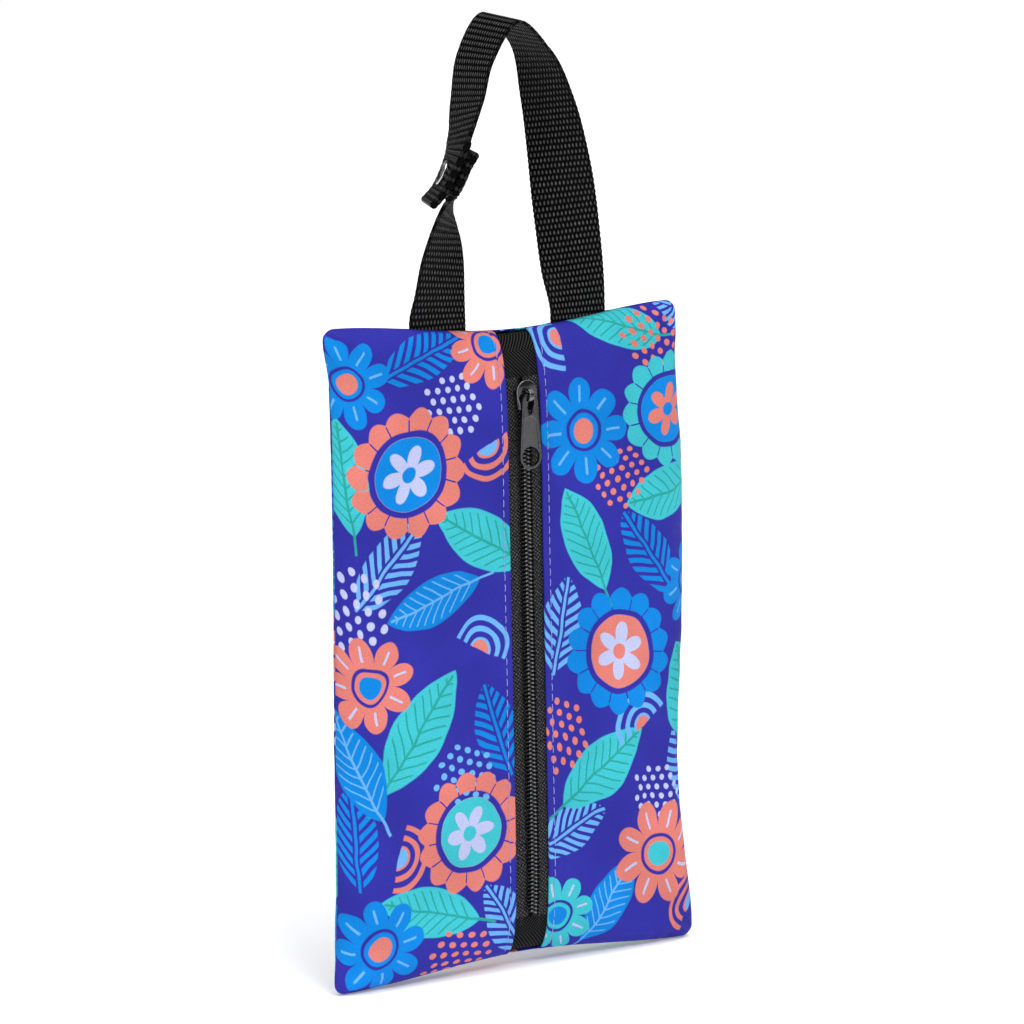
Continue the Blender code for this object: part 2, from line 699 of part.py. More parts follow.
def strap(name, table, side, stations, hem, count):
    """A woven strap that turns about its own middle line as it rises."""
    along, curve = smooth_route(strap_route(table, side, stations), count)
    length = along[-1]
    half = STRAP_WIDTH/2
    rings = []
    for distance in strap_stations(length, hem, count):
        here = np.array([np.interp(distance, along, curve[:, i]) for i in range(5)])
        ahead = np.array([np.interp(min(distance + STRAP_THICKNESS, length), along, curve[:, i])
                          for i in range(3)])
        behind = np.array([np.interp(max(distance - STRAP_THICKNESS, 0.0), along, curve[:, i])
                           for i in range(3)])
        heading = Vector(ahead - behind).normalized()
        turn, tip = np.radians(here[3:])
        width = Vector((math.cos(turn)*math.cos(tip), math.sin(turn)*math.cos(tip), math.sin(tip)))
        width = (width - heading*width.dot(heading)).normalized()
        face = heading.cross(width)
        thick = thickness_at(distance, length, hem)/2
        edge = min(STRAP_EDGE, thick*STRAP_EDGE_MOST)
        middle = Vector(here[:3])
        section = ((-half, -thick + edge), (-half + edge, -thick), (half - edge, -thick),
                   (half, -thick + edge), (half, thick - edge), (half - edge, thick),
                   (-half + edge, thick), (-half, thick - edge))
        rings.append([middle + width*a + face*b for a, b in section])
    made = ring_tube(name, rings, WEBBING)
    hole = snap_turning(name + "_hole", (
        (0.0, -HEM), (SNAP_POST_RADIUS + SEAT_GAP, -HEM),
        (SNAP_POST_RADIUS + SEAT_GAP, HEM), (0.0, HEM)), snap_seat(side), WEBBING)
    boolean(made, hole, "DIFFERENCE")
    return made


def snap_turning(name, profile, seat, finish):
    """A turned solid from (radius, distance along the snap's axis) points."""
    _, width, upward, axis = snap_frame()
    bm = bmesh.new()
    verts = [bm.verts.new((radius, 0.0, distance)) for radius, distance in profile]
    edges = [bm.edges.new(pair) for pair in zip(verts, verts[1:])]
    if profile[0][0] > 0 or profile[-1][0] > 0:
        edges.append(bm.edges.new((verts[-1], verts[0])))
    bmesh.ops.spin(bm, geom=verts + edges, cent=(0, 0, 0), axis=(0, 0, 1), dvec=(0, 0, 0),
                   angle=2*math.pi, steps=SNAP_SIDES, use_merge=True)
    bmesh.ops.remove_doubles(bm, verts=bm.verts, dist=1e-6)
    for vert in bm.verts:
        local = vert.co.copy()
        vert.co = seat + width*local.x + upward*local.y + axis*local.z
    return keep(name, bm, finish, 35)


def snap_cap():
    """Domed cap on the long strap's outer face, with a post through the webbing."""
    face = HEM/2 + SEAT_GAP
    rim = SNAP_CAP_HEIGHT/2
    return snap_turning("snap_cap", (
        (0.0, SNAP_SPACE/2 + HEM/2 - SEAT_GAP),
        (SNAP_POST_RADIUS, SNAP_SPACE/2 + HEM/2 - SEAT_GAP),
        (SNAP_POST_RADIUS, -face),
        (SNAP_CAP_RADIUS, -face),
        (SNAP_CAP_RADIUS, -face - rim*0.6),
        (SNAP_CAP_RADIUS*0.86, -face - rim*1.5),
        (SNAP_CAP_RADIUS*0.50, -face - SNAP_CAP_HEIGHT*0.95),
        (0.0, -face - SNAP_CAP_HEIGHT),
    ), snap_seat(-1), SNAP_NICKEL)


def snap_stud():
    """Flat head on the short strap's far face, with a stud through into the socket."""
    face = HEM/2 + SEAT_GAP
    return snap_turning("snap_stud", (
        (0.0, -SNAP_SPACE/2 - HEM/2 + SEAT_GAP),
        (SNAP_POST_RADIUS, -SNAP_SPACE/2 - HEM/2 + SEAT_GAP),
        (SNAP_POST_RADIUS, face),
        (SNAP_CAP_RADIUS, face),
        (SNAP_CAP_RADIUS, face + SNAP_CAP_HEIGHT*0.5),
        (SNAP_CAP_RADIUS*0.80, face + SNAP_CAP_HEIGHT*0.8),
        (0.0, face + SNAP_CAP_HEIGHT*0.8),
    ), snap_seat(1), SNAP_NICKEL)


def snap_socket():
    """Ring between the two straps, round the stud."""
    middle, _, _, _ = snap_frame()
    bore = SNAP_POST_RADIUS + SEAT_GAP
    half = SNAP_SOCKET/2
    return snap_turning("snap_socket", (
        (bore, -half), (SNAP_SOCKET_RADIUS, -half), (SNAP_SOCKET_RADIUS, half), (bore, half),
    ), middle, SNAP_NICKEL)


back_panel()
front_panel("front_panel_left", -1)
front_panel("front_panel_right", 1)
zipper_tape("zipper_tape_left", -1)
zipper_tape("zipper_tape_right", 1)
end_tab("end_tab_top", TOP_TAB_LENGTH, True)
end_tab("end_tab_bottom", BOTTOM_TAB_LENGTH, False)
zipper_coil()
slider_body()
slider_pull()
strap("strap_long", LONG_ROUTE, -1, LONG_END, LONG_HEM, LONG_SECTIONS)
strap("strap_short", SHORT_ROUTE, 1, SHORT_END, SHORT_HEM, SHORT_SECTIONS)
snap_cap()
snap_stud()
snap_socket()
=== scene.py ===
"""Looks of the tissue pouch: printed cloth, zip, webbing loop and snap.

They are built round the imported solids.  Units are metres, and +Z is up.  The front faces -Y.
The origin is on the inner face of the loop's top, over the middle of the zip.  Cloth maps are
in millimetres.
"""

import math

import bmesh
import bpy
import numpy as np
from mathutils import Matrix, Vector, noise


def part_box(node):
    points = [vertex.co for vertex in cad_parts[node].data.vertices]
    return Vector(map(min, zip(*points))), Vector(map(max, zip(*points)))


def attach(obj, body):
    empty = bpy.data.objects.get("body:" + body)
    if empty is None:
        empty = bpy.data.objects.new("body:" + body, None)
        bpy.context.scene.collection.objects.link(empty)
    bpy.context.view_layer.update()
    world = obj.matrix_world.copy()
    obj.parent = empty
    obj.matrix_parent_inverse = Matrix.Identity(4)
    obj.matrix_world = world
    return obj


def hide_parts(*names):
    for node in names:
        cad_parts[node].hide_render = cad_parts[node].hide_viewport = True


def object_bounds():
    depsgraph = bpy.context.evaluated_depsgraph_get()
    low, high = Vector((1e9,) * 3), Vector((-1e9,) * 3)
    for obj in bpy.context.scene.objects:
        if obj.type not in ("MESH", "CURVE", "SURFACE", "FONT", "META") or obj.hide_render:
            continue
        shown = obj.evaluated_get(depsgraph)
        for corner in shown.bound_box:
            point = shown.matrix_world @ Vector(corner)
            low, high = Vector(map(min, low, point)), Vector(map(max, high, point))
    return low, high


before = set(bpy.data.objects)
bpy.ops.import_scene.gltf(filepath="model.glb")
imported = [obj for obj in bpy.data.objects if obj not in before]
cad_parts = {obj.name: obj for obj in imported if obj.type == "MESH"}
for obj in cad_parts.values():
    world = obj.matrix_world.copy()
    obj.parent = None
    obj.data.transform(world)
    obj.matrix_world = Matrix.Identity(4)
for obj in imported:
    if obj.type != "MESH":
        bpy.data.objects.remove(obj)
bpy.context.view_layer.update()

MM = 0.001

# Pouch
HALF_WIDTH = 0.080
HEIGHT = 0.2545
FRONT_BULGE = 0.0105
BACK_BULGE = 0.0095
TOP_SAG = 0.0059
BOTTOM_RISE = 0.0050
CORNER_RADIUS = 0.0048
WALL = 0.0012              # the folded edge's thickness, and the depth at which the tapes start
CLOTH = 0.0005             # one layer of the printed cloth
SEAT_GAP = 0.0003
SIDE_ROUNDING = 6
END_ROUNDING = 10
FOLD_HEM = 0.0070          # from the fold to the end of the cloth turned under it
FOLD_LIP = 0.0052          # from the fold to where the close grid ends
FOLD_STEP = 0.0003         # step of the close grid

# Unevenness of the cloth: depth, grain across and up, and which noise it is
SLACK = (0.00060, (0.040, 0.062), 0)
CREASES = (0.00014, (0.010, 0.015), 3)
SIDE_PUCKERS = (0.00085, (0.050, 0.0068), 5)
END_PUCKERS = (0.00085, (0.0075, 0.050), 7)
FOLD_PUCKERS = (0.00016, (0.050, 0.0085), 9)
FAN_DEPTH = 0.00070        # small folds that fan out from each corner
FURROW_DEPTH = 0.00026
FURROW_WIDTH = 0.00055

# Zip
WINDOW = 0.0148
UNDERLAP = 0.0080
TAPE = 0.0010
TAPE_SLIT = 0.0024
TAB = 0.0011
TOP_TAB_LENGTH = 0.0180
BOTTOM_TAB_LENGTH = 0.0158
COIL_WIDTH = 0.0056
COIL_HEIGHT = 0.0020
COIL_PITCH = 0.00156
COIL_WIRE = 0.00034        # radius of the coil's wire
SLIDER_PLATE = 0.0012
BAIL_THICK = 0.0012
BAIL_HALF = 0.0010
PULL_BAR = 0.0014          # metal between the slot and the pull's upper end
PULL_RIM = 0.0008          # metal round the wide hole and the sunk panel
PULL_SLOT = (0.0019, 0.0010, 0.0068)    # upper radius, lower radius and length
PULL_RECESS = 0.00036
PULL_BEVEL = 0.00022
COIL_THREAD = 0.00024      # radius of the threads that hold the coil
COIL_THREADS = ((0.00158, 0.0), (0.00212, 0.000225))   # from the middle, and how far back
CORD_FROM_COIL = 0.0011    # from the coil to the cord woven along the tape
CORD_HALF = 0.0006
CORD_RISE = 0.00010
TAPE_UNDER_TAB = 0.0040
TAB_CORD = 0.00108         # from one cord of the tab's weave to the next
TAB_BEAT = 0.00092         # from one crossing to the next along a cord
TAB_STEP = 0.00024
TAB_ROUND = 0.0007         # length over which the tab's end rounds off
TAB_TURN_IN = 0.0009       # how far the rounded end goes back
TAB_OVERLAP = 0.0022       # how far the tab goes under the folds
TAB_RELIEF = 0.00030
STITCH_FROM_FOLD = 0.0028
STITCH_PITCH = 0.0041
STITCH_LENGTH = 0.0033
THREAD = 0.00017           # radius of the sewing thread
STITCH_SINK = 0.0004       # how far a stitch's ends go in

# Webbing
STRAP_WIDTH = 0.0250
STRAP_THICKNESS = 0.0015
STRAP_EDGE = 0.0005
LOOP_SPAN = 0.0632
LOOP_HEIGHT = 0.1162
STRAP_INSIDE = 0.0100
FOOT_FADE = 0.0025
LONG_HEM = 0.0265
SHORT_HEM = 0.0230
LONG_TAIL = 0.0135
SHORT_TAIL = 0.0120
TAIL_FLARE = 0.0028
FLOAT_ROW = 0.00236        # from one row of floats to the next, along the webbing
FLOAT_PITCH = 0.00154      # from float to float across the webbing
FLOAT_WIDE = 0.42          # half a float's width, as a share of the pitch
FLOAT_LONG = 0.48          # half a float's length, as a share of the row
FLOAT_RISE = 0.00034
FLOAT_BUMP = 0.00036       # depth of the material's own relief
EDGE_WAVE = 0.00022        # how far the edges go in between the rows of floats
HEM_ROWS = (0.0035, 0.0055)    # from the hem's cut edge to its rows of stitches
HEM_THREAD = 0.00024
HEM_STITCH_PITCH = 0.0030
HEM_STITCH_LENGTH = 0.0026
HEM_STITCH_INSET = 0.0014
HEM_STITCH_BED = 0.00004

# Snap
SNAP_TURN = math.radians(66.0)
SNAP_SPLAY = 2.0
SNAP_LEAN = math.radians(24.0)
SNAP_ACROSS = -0.374
SNAP_UP = 0.494
SNAP_BACK = -0.012
SNAP_CAP_RADIUS = 0.0050
SNAP_SOCKET = 0.0012
SNAP_POST = 0.0014
SNAP_TOUCH = 0.4*SEAT_GAP

# Side seams: height share, then each side's distance from the middle as a share of the half width
SIDE_SEAMS = (
    ("height", "left", "right"),
    (0.00, 1.048, 1.006),
    (0.07, 1.036, 0.988),
    (0.15, 1.018, 0.955),
    (0.21, 1.014, 0.935),
    (0.30, 1.010, 0.922),
    (0.38, 1.008, 0.935),
    (0.48, 1.000, 0.955),
    (0.58, 0.993, 0.968),
    (0.70, 0.987, 0.972),
    (0.78, 0.985, 0.970),
    (0.85, 0.985, 0.950),
    (0.92, 0.990, 0.944),
    (0.97, 1.018, 0.952),
    (1.00, 1.022, 0.960),
)

# Dents: places as shares of half width and height, reach as a share of the half width,
# depth as a share of the bulge
FRONT_DENTS = (
    ("across", "height", "reach across", "reach up", "depth"),
    (-0.62, 0.93, 0.30, 0.16, 0.10),
    (-0.84, 0.60, 0.14, 0.55, 0.08),
    (-0.60, 0.12, 0.20, 0.30, 0.12),
    (-0.30, 0.45, 0.18, 0.90, 0.05),
    (0.34, 0.30, 0.16, 0.60, 0.07),
    (0.80, 0.30, 0.16, 0.30, 0.22),
    (0.55, 0.90, 0.26, 0.18, 0.09),
    (0.62, 0.10, 0.22, 0.22, 0.13),
    (0.84, 0.72, 0.12, 0.40, -0.06),
)
BACK_DENTS = (
    ("across", "height", "reach across", "reach up", "depth"),
    (-0.45, 0.80, 0.30, 0.35, 0.10),
    (0.10, 0.52, 0.26, 0.80, -0.05),
    (0.50, 0.24, 0.28, 0.32, 0.12),
    (-0.62, 0.16, 0.22, 0.26, 0.12),
    (0.70, 0.72, 0.18, 0.45, 0.08),
)

# Webbing route up to the snap: across and back are shares of the span, up is a share of the
# loop's height, turn is the heading of the webbing's width and tip its slope, in degrees
LONG_ROUTE = (
    ("across", "back", "up", "turn", "tip"),
    (0.500, 0.000, 0.000, 0.0, 0.0),
    (0.500, 0.000, 0.022, 0.0, 0.0),
    (0.490, 0.040, 0.175, -19.0, 0.0),
    (0.458, 0.055, 0.365, -31.0, 0.0),
    (0.405, 0.043, 0.545, -51.0, 0.0),
    (0.334, 0.042, 0.729, -67.0, -2.0),
    (0.214, 0.036, 0.903, -83.0, -7.0),
    (-0.011, 0.005, 1.000, -86.0, -6.0),
    (-0.190, 0.010, 0.872, -89.0, -5.0),
    (-0.255, 0.004, 0.737, -93.0, 0.0),
)
SHORT_ROUTE = (
    ("across", "back", "up", "turn", "tip"),
    (-0.500, 0.000, 0.000, 0.0, 0.0),
    (-0.500, 0.000, 0.022, 0.0, 0.0),
    (-0.489, -0.018, 0.113, 10.0, 0.0),
    (-0.462, -0.022, 0.234, 21.0, 0.0),
    (-0.427, -0.020, 0.359, 43.0, 0.0),
)

# Webbing at the snap: distance past it, share of the flare, and twist in degrees
LONG_END = (
    (1.8*SNAP_CAP_RADIUS, 0.0, 4.0),
    (0.0, 0.0, 0.0),
    (-0.45*LONG_TAIL, 0.12, 0.0),
    (-LONG_TAIL, 1.0, 0.0),
)
SHORT_END = (
    (-1.5*SNAP_CAP_RADIUS, 0.0, -4.0),
    (0.0, 0.0, 0.0),
    (0.45*SHORT_TAIL, 0.06, 0.0),
    (SHORT_TAIL, 0.4, 0.0),
)

# Each strap's route, its side of the snap, its end and the length of its hem
STRAPS = {
    "long": (LONG_ROUTE, -1, LONG_END, LONG_HEM),
    "short": (SHORT_ROUTE, 1, SHORT_END, SHORT_HEM),
}

# Levels and depths worked out from the sizes
FOLD_X = WINDOW/2
STITCH_X = FOLD_X + STITCH_FROM_FOLD
FOOT_Z = STRAP_THICKNESS/2 - LOOP_HEIGHT
TOP_Z = FOOT_Z + TOP_SAG*(1 + math.cos(math.pi*0.5*LOOP_SPAN/HALF_WIDTH))/2
BOTTOM_Z = TOP_Z - HEIGHT
TAPE_DEPTH = WALL + SEAT_GAP
COIL_DEPTH = TAPE_DEPTH - SEAT_GAP - COIL_HEIGHT
ZIP_LOW = BOTTOM_Z + BOTTOM_RISE
ZIP_HIGH = TOP_Z - TOP_SAG
COIL_LOW = ZIP_LOW + BOTTOM_TAB_LENGTH + SEAT_GAP
COIL_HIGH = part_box("zipper_coil")[1].z
HEM = 2*STRAP_THICKNESS
SNAP_SPACE = SNAP_SOCKET + 2*SEAT_GAP


# Meshes

def object_of(name, bm, finish=None):
    """A new object in the scene from a bmesh, which is freed."""
    mesh = bpy.data.meshes.new(name)
    bm.to_mesh(mesh)
    bm.free()
    if finish:
        mesh.materials.append(finish)
    made = bpy.data.objects.new(name, mesh)
    bpy.context.scene.collection.objects.link(made)
    return made


def piece_of(name, bm, finish, body, stands_for=(), smooth_angle=60):
    """Turn a bmesh into a named piece that rides on a body."""
    piece = object_of(name, bm, finish)
    piece.data.shade_smooth()
    piece.data.set_sharp_from_angle(angle=math.radians(smooth_angle))
    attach(piece, body)
    if stands_for:
        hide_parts(*stands_for)
    return piece


def lay_grid(bm, points, cloth_map=None, relief=None):
    """Add a grid through rows of points, with its cloth map and its relief if it has them."""
    rows, columns = points.shape[0] - 1, points.shape[1] - 1
    raised = relief is not None and (bm.verts.layers.float.get("relief")
                                     or bm.verts.layers.float.new("relief"))
    mapped = cloth_map is not None and bm.loops.layers.uv.verify()
    grid = bmesh.ops.create_grid(bm, x_segments=columns, y_segments=rows, size=0.5)
    verts = grid["verts"]
    spots = np.array([vert.co[:2] for vert in verts]) + 0.5
    across = np.rint(spots[:, 0]*columns).astype(int)
    up = np.rint(spots[:, 1]*rows).astype(int)
    for vert, co in zip(verts, points[up, across]):
        vert.co = co
    if relief is not None:
        for vert, high in zip(verts, relief[up, across]):
            vert[raised] = high
    if cloth_map is not None:
        spot_of = {vert: spot for vert, spot in zip(verts, cloth_map[up, across])}
        for face in {face for vert in verts for face in vert.link_faces}:
            for loop in face.loops:
                loop[mapped].uv = spot_of[loop.vert]


def open_sheet(points, cloth_map, outward, relief=None):
    """A bmesh of one open sheet whose faces point outward."""
    bm = bmesh.new()
    lay_grid(bm, points, cloth_map, relief)
    bmesh.ops.recalc_face_normals(bm, faces=bm.faces)
    total = sum((face.normal*face.calc_area() for face in bm.faces), Vector())
    if total.dot(Vector(outward)) < 0:
        bmesh.ops.reverse_faces(bm, faces=bm.faces)
    return bm


def close_up(bm, merge=1e-6):
    """Join touching rims, fill the ends and turn all faces outward."""
    bmesh.ops.remove_doubles(bm, verts=bm.verts, dist=merge)
    bmesh.ops.dissolve_degenerate(bm, dist=merge, edges=bm.edges)
    rims = [edge for edge in bm.edges if edge.is_boundary]
    bmesh.ops.holes_fill(bm, edges=rims, sides=0)
    bmesh.ops.recalc_face_normals(bm, faces=bm.faces)
    if bm.calc_volume(signed=True) < 0:
        bmesh.ops.reverse_faces(bm, faces=bm.faces)


def unit(vectors):
    """Vectors brought to length one."""
    return vectors/np.linalg.norm(vectors, axis=-1, keepdims=True)


def wire(bm, centres, side, radius, sides=6, relief=None):
    """Add a round wire along a line; side is a direction that is never along the line."""
    ahead = unit(np.gradient(centres, axis=0))
    first = unit(np.cross(ahead, side))
    second = np.cross(ahead, first)
    if relief is not None:
        relief = np.repeat(relief[:, None], sides + 1, axis=1)
    turn = np.linspace(0, 2*math.pi, sides + 1)[None, :, None]
    radius = np.broadcast_to(radius, len(centres))[:, None, None]
    around = first[:, None]*np.cos(turn) + second[:, None]*np.sin(turn)
    lay_grid(bm, centres[:, None] + radius*around, relief=relief)


def modified(piece, name, kind, **settings):
    """Add a modifier with its settings."""
    change = piece.modifiers.new(name, kind)
    for setting, value in settings.items():
        setattr(change, setting, value)


def walled(piece, thickness):
    """Give an open sheet its thickness, inward."""
    modified(piece, "wall", "SOLIDIFY", thickness=thickness, offset=-1.0, use_even_offset=False)


def read_along(at, along, rows):
    """Rows of values read between their distances along a line."""
    return np.stack([np.interp(at, along, row) for row in rows.T], axis=1)


def spaced(low, high, step):
    """Evenly spaced values with about the given step."""
    return np.linspace(low, high, max(2, round((high - low)/step) + 1))


# Pouch surface

def column(table, share, name):
    """Read a named column of a table between its rows."""
    rows = np.array(table[1:])
    return np.interp(share, rows[:, 0], rows[:, table[0].index(name)])


def side_edge(x, height):
    """Distance of the side seam from the middle, on the side of x."""
    left = column(SIDE_SEAMS, height, "left")
    right = column(SIDE_SEAMS, height, "right")
    return HALF_WIDTH*np.where(x < 0, left, right)


def dents(table, across, height):
    """How far the dents take the surface back, as a share of the bulge."""
    total = 0.0
    for place, level, reach, reach_up, depth in table[1:]:
        near = ((across - place)/reach)**2
        near_up = ((height - level)*HEIGHT/(reach_up*HALF_WIDTH))**2
        total = total + depth*np.exp(-near - near_up)
    return total


def rim_opening(x, height):
    """Half the opening between front and back, wider where the webbing goes in."""
    middle = LOOP_SPAN/2
    half = STRAP_WIDTH/2 + 2*SEAT_GAP
    reach = (middle - half - FOOT_FADE, middle - half, middle + half, middle + half + FOOT_FADE)
    at_foot = np.interp(np.abs(x), reach, (0.0, 1.0, 1.0, 0.0))
    near_top = np.interp(height, (1 - 2.6*STRAP_INSIDE/HEIGHT, 1 - 1.3*STRAP_INSIDE/HEIGHT),
                         (0.0, 1.0))
    narrow = SEAT_GAP/2
    wide = STRAP_THICKNESS/2 + SEAT_GAP
    return narrow + (wide - narrow)*at_foot*near_top


def round_corner(x, z, edge, half_height):
    """Pull points of a rectangle in, so that its corners become round."""
    past = (np.abs(x) - edge)/CORNER_RADIUS + 1
    past_up = (np.abs(z) - half_height)/CORNER_RADIUS + 1
    in_corner = (past > 0) & (past_up > 0)
    length = np.where(in_corner, np.hypot(past, past_up), 1.0)
    pull = np.where(in_corner, np.maximum(past, past_up)/length, 1.0)
    near_x = np.where(in_corner, edge - CORNER_RADIUS + CORNER_RADIUS*past*pull, np.abs(x))
    near_z = np.where(in_corner, half_height - CORNER_RADIUS + CORNER_RADIUS*past_up*pull,
                      np.abs(z))
    return np.copysign(near_x, x), np.copysign(near_z, z)


def pouch_surface(x, height, depth=0.0, back=False):
    """Points of the pouch's surface, or of a layer at some depth inside it."""
    x, height, depth = np.broadcast_arrays(x, height, depth)
    edge = side_edge(x, height) - depth
    across = np.clip(x/edge, -1, 1)
    wave = (1 + np.cos(math.pi*across))/2
    bottom = BOTTOM_Z + BOTTOM_RISE*wave + depth
    top = TOP_Z - TOP_SAG*wave - depth
    half_height = (top - bottom)/2
    level = 2*height - 1
    near_x, rise = round_corner(across*edge, level*half_height, edge, half_height)
    full = np.clip(1 - np.abs(across)**SIDE_ROUNDING, 0, 1)
    full_up = np.clip(1 - np.abs(level)**END_ROUNDING, 0, 1)
    bulge = BACK_BULGE if back else FRONT_BULGE
    table = BACK_DENTS if back else FRONT_DENTS
    out = (bulge*(1 - dents(table, across, height)) - depth)*np.sqrt(full*full_up)
    out = out + rim_opening(near_x, height)
    return np.stack((near_x, out if back else -out, (top + bottom)/2 + rise), axis=-1)


def height_share(z, depth):
    """Share of the way up, at the middle of the pouch, of a level in a layer."""
    low = ZIP_LOW + depth
    high = ZIP_HIGH - depth
    return (z - low)/(high - low)


def rough(places, grain, seed):
    """Smooth noise from -1 to 1 at each (x, z) place, grain being its size across and up."""
    flat = places.reshape(-1, 2)
    values = [noise.noise(Vector((x/grain[0], z/grain[1], seed))) for x, z in flat]
    return np.array(values).reshape(places.shape[:-1])


def cloth_relief(points, height, seed, has_fold):
    """How far the cloth stands out: soft waves, puckers at the seams, a furrow at the topstitch."""
    x = points[..., 0]
    places = points[..., ::2]
    from_side = np.clip(side_edge(x, height) - np.abs(x), 0, None)
    from_end = np.minimum(height, 1 - height)*HEIGHT

    def waves(kind):
        depth, grain, step = kind
        return depth*rough(places, grain, seed + step)

    def fade(distance, reach):
        return np.exp(-distance/reach)*(1 - np.exp(-distance/0.0014))

    out = waves(SLACK)*np.clip(from_side/0.020, 0, 1)*np.clip(from_end/0.016, 0, 1)
    out += waves(CREASES)*np.clip(from_side/0.004, 0, 1)
    out += waves(SIDE_PUCKERS)*fade(from_side, 0.0075)
    out += waves(END_PUCKERS)*fade(from_end, 0.0080)
    corner = np.hypot(from_side, from_end)
    fan = np.arctan2(from_end, from_side)
    out += FAN_DEPTH*np.sin(7.0*fan + seed)*np.exp(-((corner - 0.013)/0.008)**2)
    if has_fold:
        out += waves(FOLD_PUCKERS)*np.exp(-(np.abs(x) - FOLD_X)/0.006)
        furrow = np.exp(-((np.abs(x) - STITCH_X)/FURROW_WIDTH)**2)
        tight = 0.6 + 0.4*np.cos(2*math.pi*points[..., 2]/STITCH_PITCH)
        out -= FURROW_DEPTH*furrow*tight
    return out


def cloth_lengths(points):
    """Cloth map of a grid of points: lengths across and up, in millimetres."""
    across = np.cumsum(np.linalg.norm(np.diff(points, axis=1), axis=2), axis=1)
    across = np.pad(across, ((0, 0), (1, 0)))
    up = np.cumsum(np.linalg.norm(np.diff(points, axis=0), axis=2), axis=0)
    up = np.pad(up, ((1, 0), (0, 0)))
    return across/MM, up/MM


def crowded(count, power):
    """Shares from 0 to 1 that crowd towards 1."""
    return 1 - (1 - np.linspace(0, 1, count + 1)[1:])**power


def panel_heights(rows):
    """Height shares of a panel's rows, closer together near both seams."""
    even = np.linspace(0, 1, rows + 1)
    return (0.45*even + 0.55*(1 - np.cos(math.pi*even))/2)[:, None]


def front_half(name, side, seed, finish):
    """One half of the front: hem under the fold, rolled edge, topstitch furrow, side seam."""
    roll = WALL/2
    height = panel_heights(220)
    edge = side_edge(np.array(float(side)), height)
    turn = np.linspace(-math.pi/2, math.pi/2, 8)
    hem_x = np.linspace(FOLD_X + FOLD_HEM, FOLD_X + roll + 2*FOLD_STEP, 5)
    lip_x = spaced(FOLD_X + roll + FOLD_STEP, FOLD_X + FOLD_LIP, FOLD_STEP)
    near = np.concatenate((hem_x, FOLD_X + roll - roll*np.cos(turn), lip_x))
    deep = np.concatenate((np.full(len(hem_x), WALL), roll - roll*np.sin(turn),
                           np.zeros(len(lip_x))))
    far = near[-1] + (edge - near[-1])*crowded(66, 1.7)
    x = np.concatenate((np.broadcast_to(near, (len(height), len(near))), far), axis=1)
    depth = np.concatenate((deep, np.zeros(far.shape[1])))
    points = pouch_surface(side*x, height, depth)
    relief = cloth_relief(points, height, seed, True)*np.clip(1 - depth/WALL, 0, 1)
    points[..., 1] -= relief
    across, up = cloth_lengths(points)
    fold = len(hem_x) + len(turn)//2
    across = FOLD_X/MM + across - across[:, fold:fold + 1]
    cloth_map = np.stack((side*across, up), axis=-1)
    bm = open_sheet(points, cloth_map, (0, -1, 0))
    piece = piece_of(name, bm, finish, "pouch",
                     ("front_panel_left" if side < 0 else "front_panel_right",), 180)
    walled(piece, CLOTH)
    return piece


def back_cloth(finish):
    """The back in one piece; its print stands on its head, as when one length wraps under."""
    height = panel_heights(210)
    right = np.concatenate(([0.0], crowded(76, 1.6)))
    edges = [side_edge(np.array(float(side)), height) for side in (-1, 1)]
    x = np.concatenate((-edges[0]*right[:0:-1], edges[1]*right), axis=1)
    points = pouch_surface(x, height, 0.0, back=True)
    points[..., 1] += cloth_relief(points, height, 31, False)
    across, up = cloth_lengths(points)
    middle = across[:, len(right) - 1:len(right)]
    cloth_map = np.stack((across - middle, HEIGHT/MM - up), axis=-1)
    bm = open_sheet(points, cloth_map, (0, 1, 0))
    piece = piece_of("back_cloth", bm, finish, "pouch", ("back_panel",), 180)
    walled(piece, CLOTH)
    return piece


# Stitches

def stitch_row(bm, line, outward, pitch, length, radius):
    """Add stitches along a line of points: each lies on the cloth and dives in at both ends."""
    steps = np.linalg.norm(np.diff(line, axis=0), axis=1)
    along = np.concatenate(([0.0], np.cumsum(steps)))
    arch = np.array((0.0, 0.10, 0.30, 0.50, 0.70, 0.90, 1.0))
    lift = np.array((-1.0, 0.1, 0.75, 0.9, 0.75, 0.1, -1.0))
    thick = np.array((0.0, 0.85, 1.0, 1.0, 1.0, 0.85, 0.0))
    for start in np.arange(pitch/2, along[-1] - length, pitch):
        at = start + length*arch
        centres = read_along(at, along, line)
        out = read_along(at, along, outward)
        centres = centres + out*(np.where(lift < 0, lift*STITCH_SINK, lift*radius))[:, None]
        wire(bm, centres, out, np.maximum(thick*radius, 1e-9))


def topstitching(finish):
    """Two rows of pale thread beside the zip, from seam to seam."""
    bm = bmesh.new()
    for side, seed in ((-1, 11), (1, 17)):
        height = panel_heights(400)[4:-4]
        points = pouch_surface(np.full((len(height), 1), side*STITCH_X), height)
        points[..., 1] -= cloth_relief(points, height, seed, True)
        line = points[:, 0]
        ahead = unit(np.gradient(line, axis=0))
        outward = unit(np.cross(ahead, (-1.0, 0.0, 0.0)))
        stitch_row(bm, line, outward, STITCH_PITCH, STITCH_LENGTH, THREAD)
    close_up(bm)
    return piece_of("topstitching", bm, finish, "pouch")


# Zip

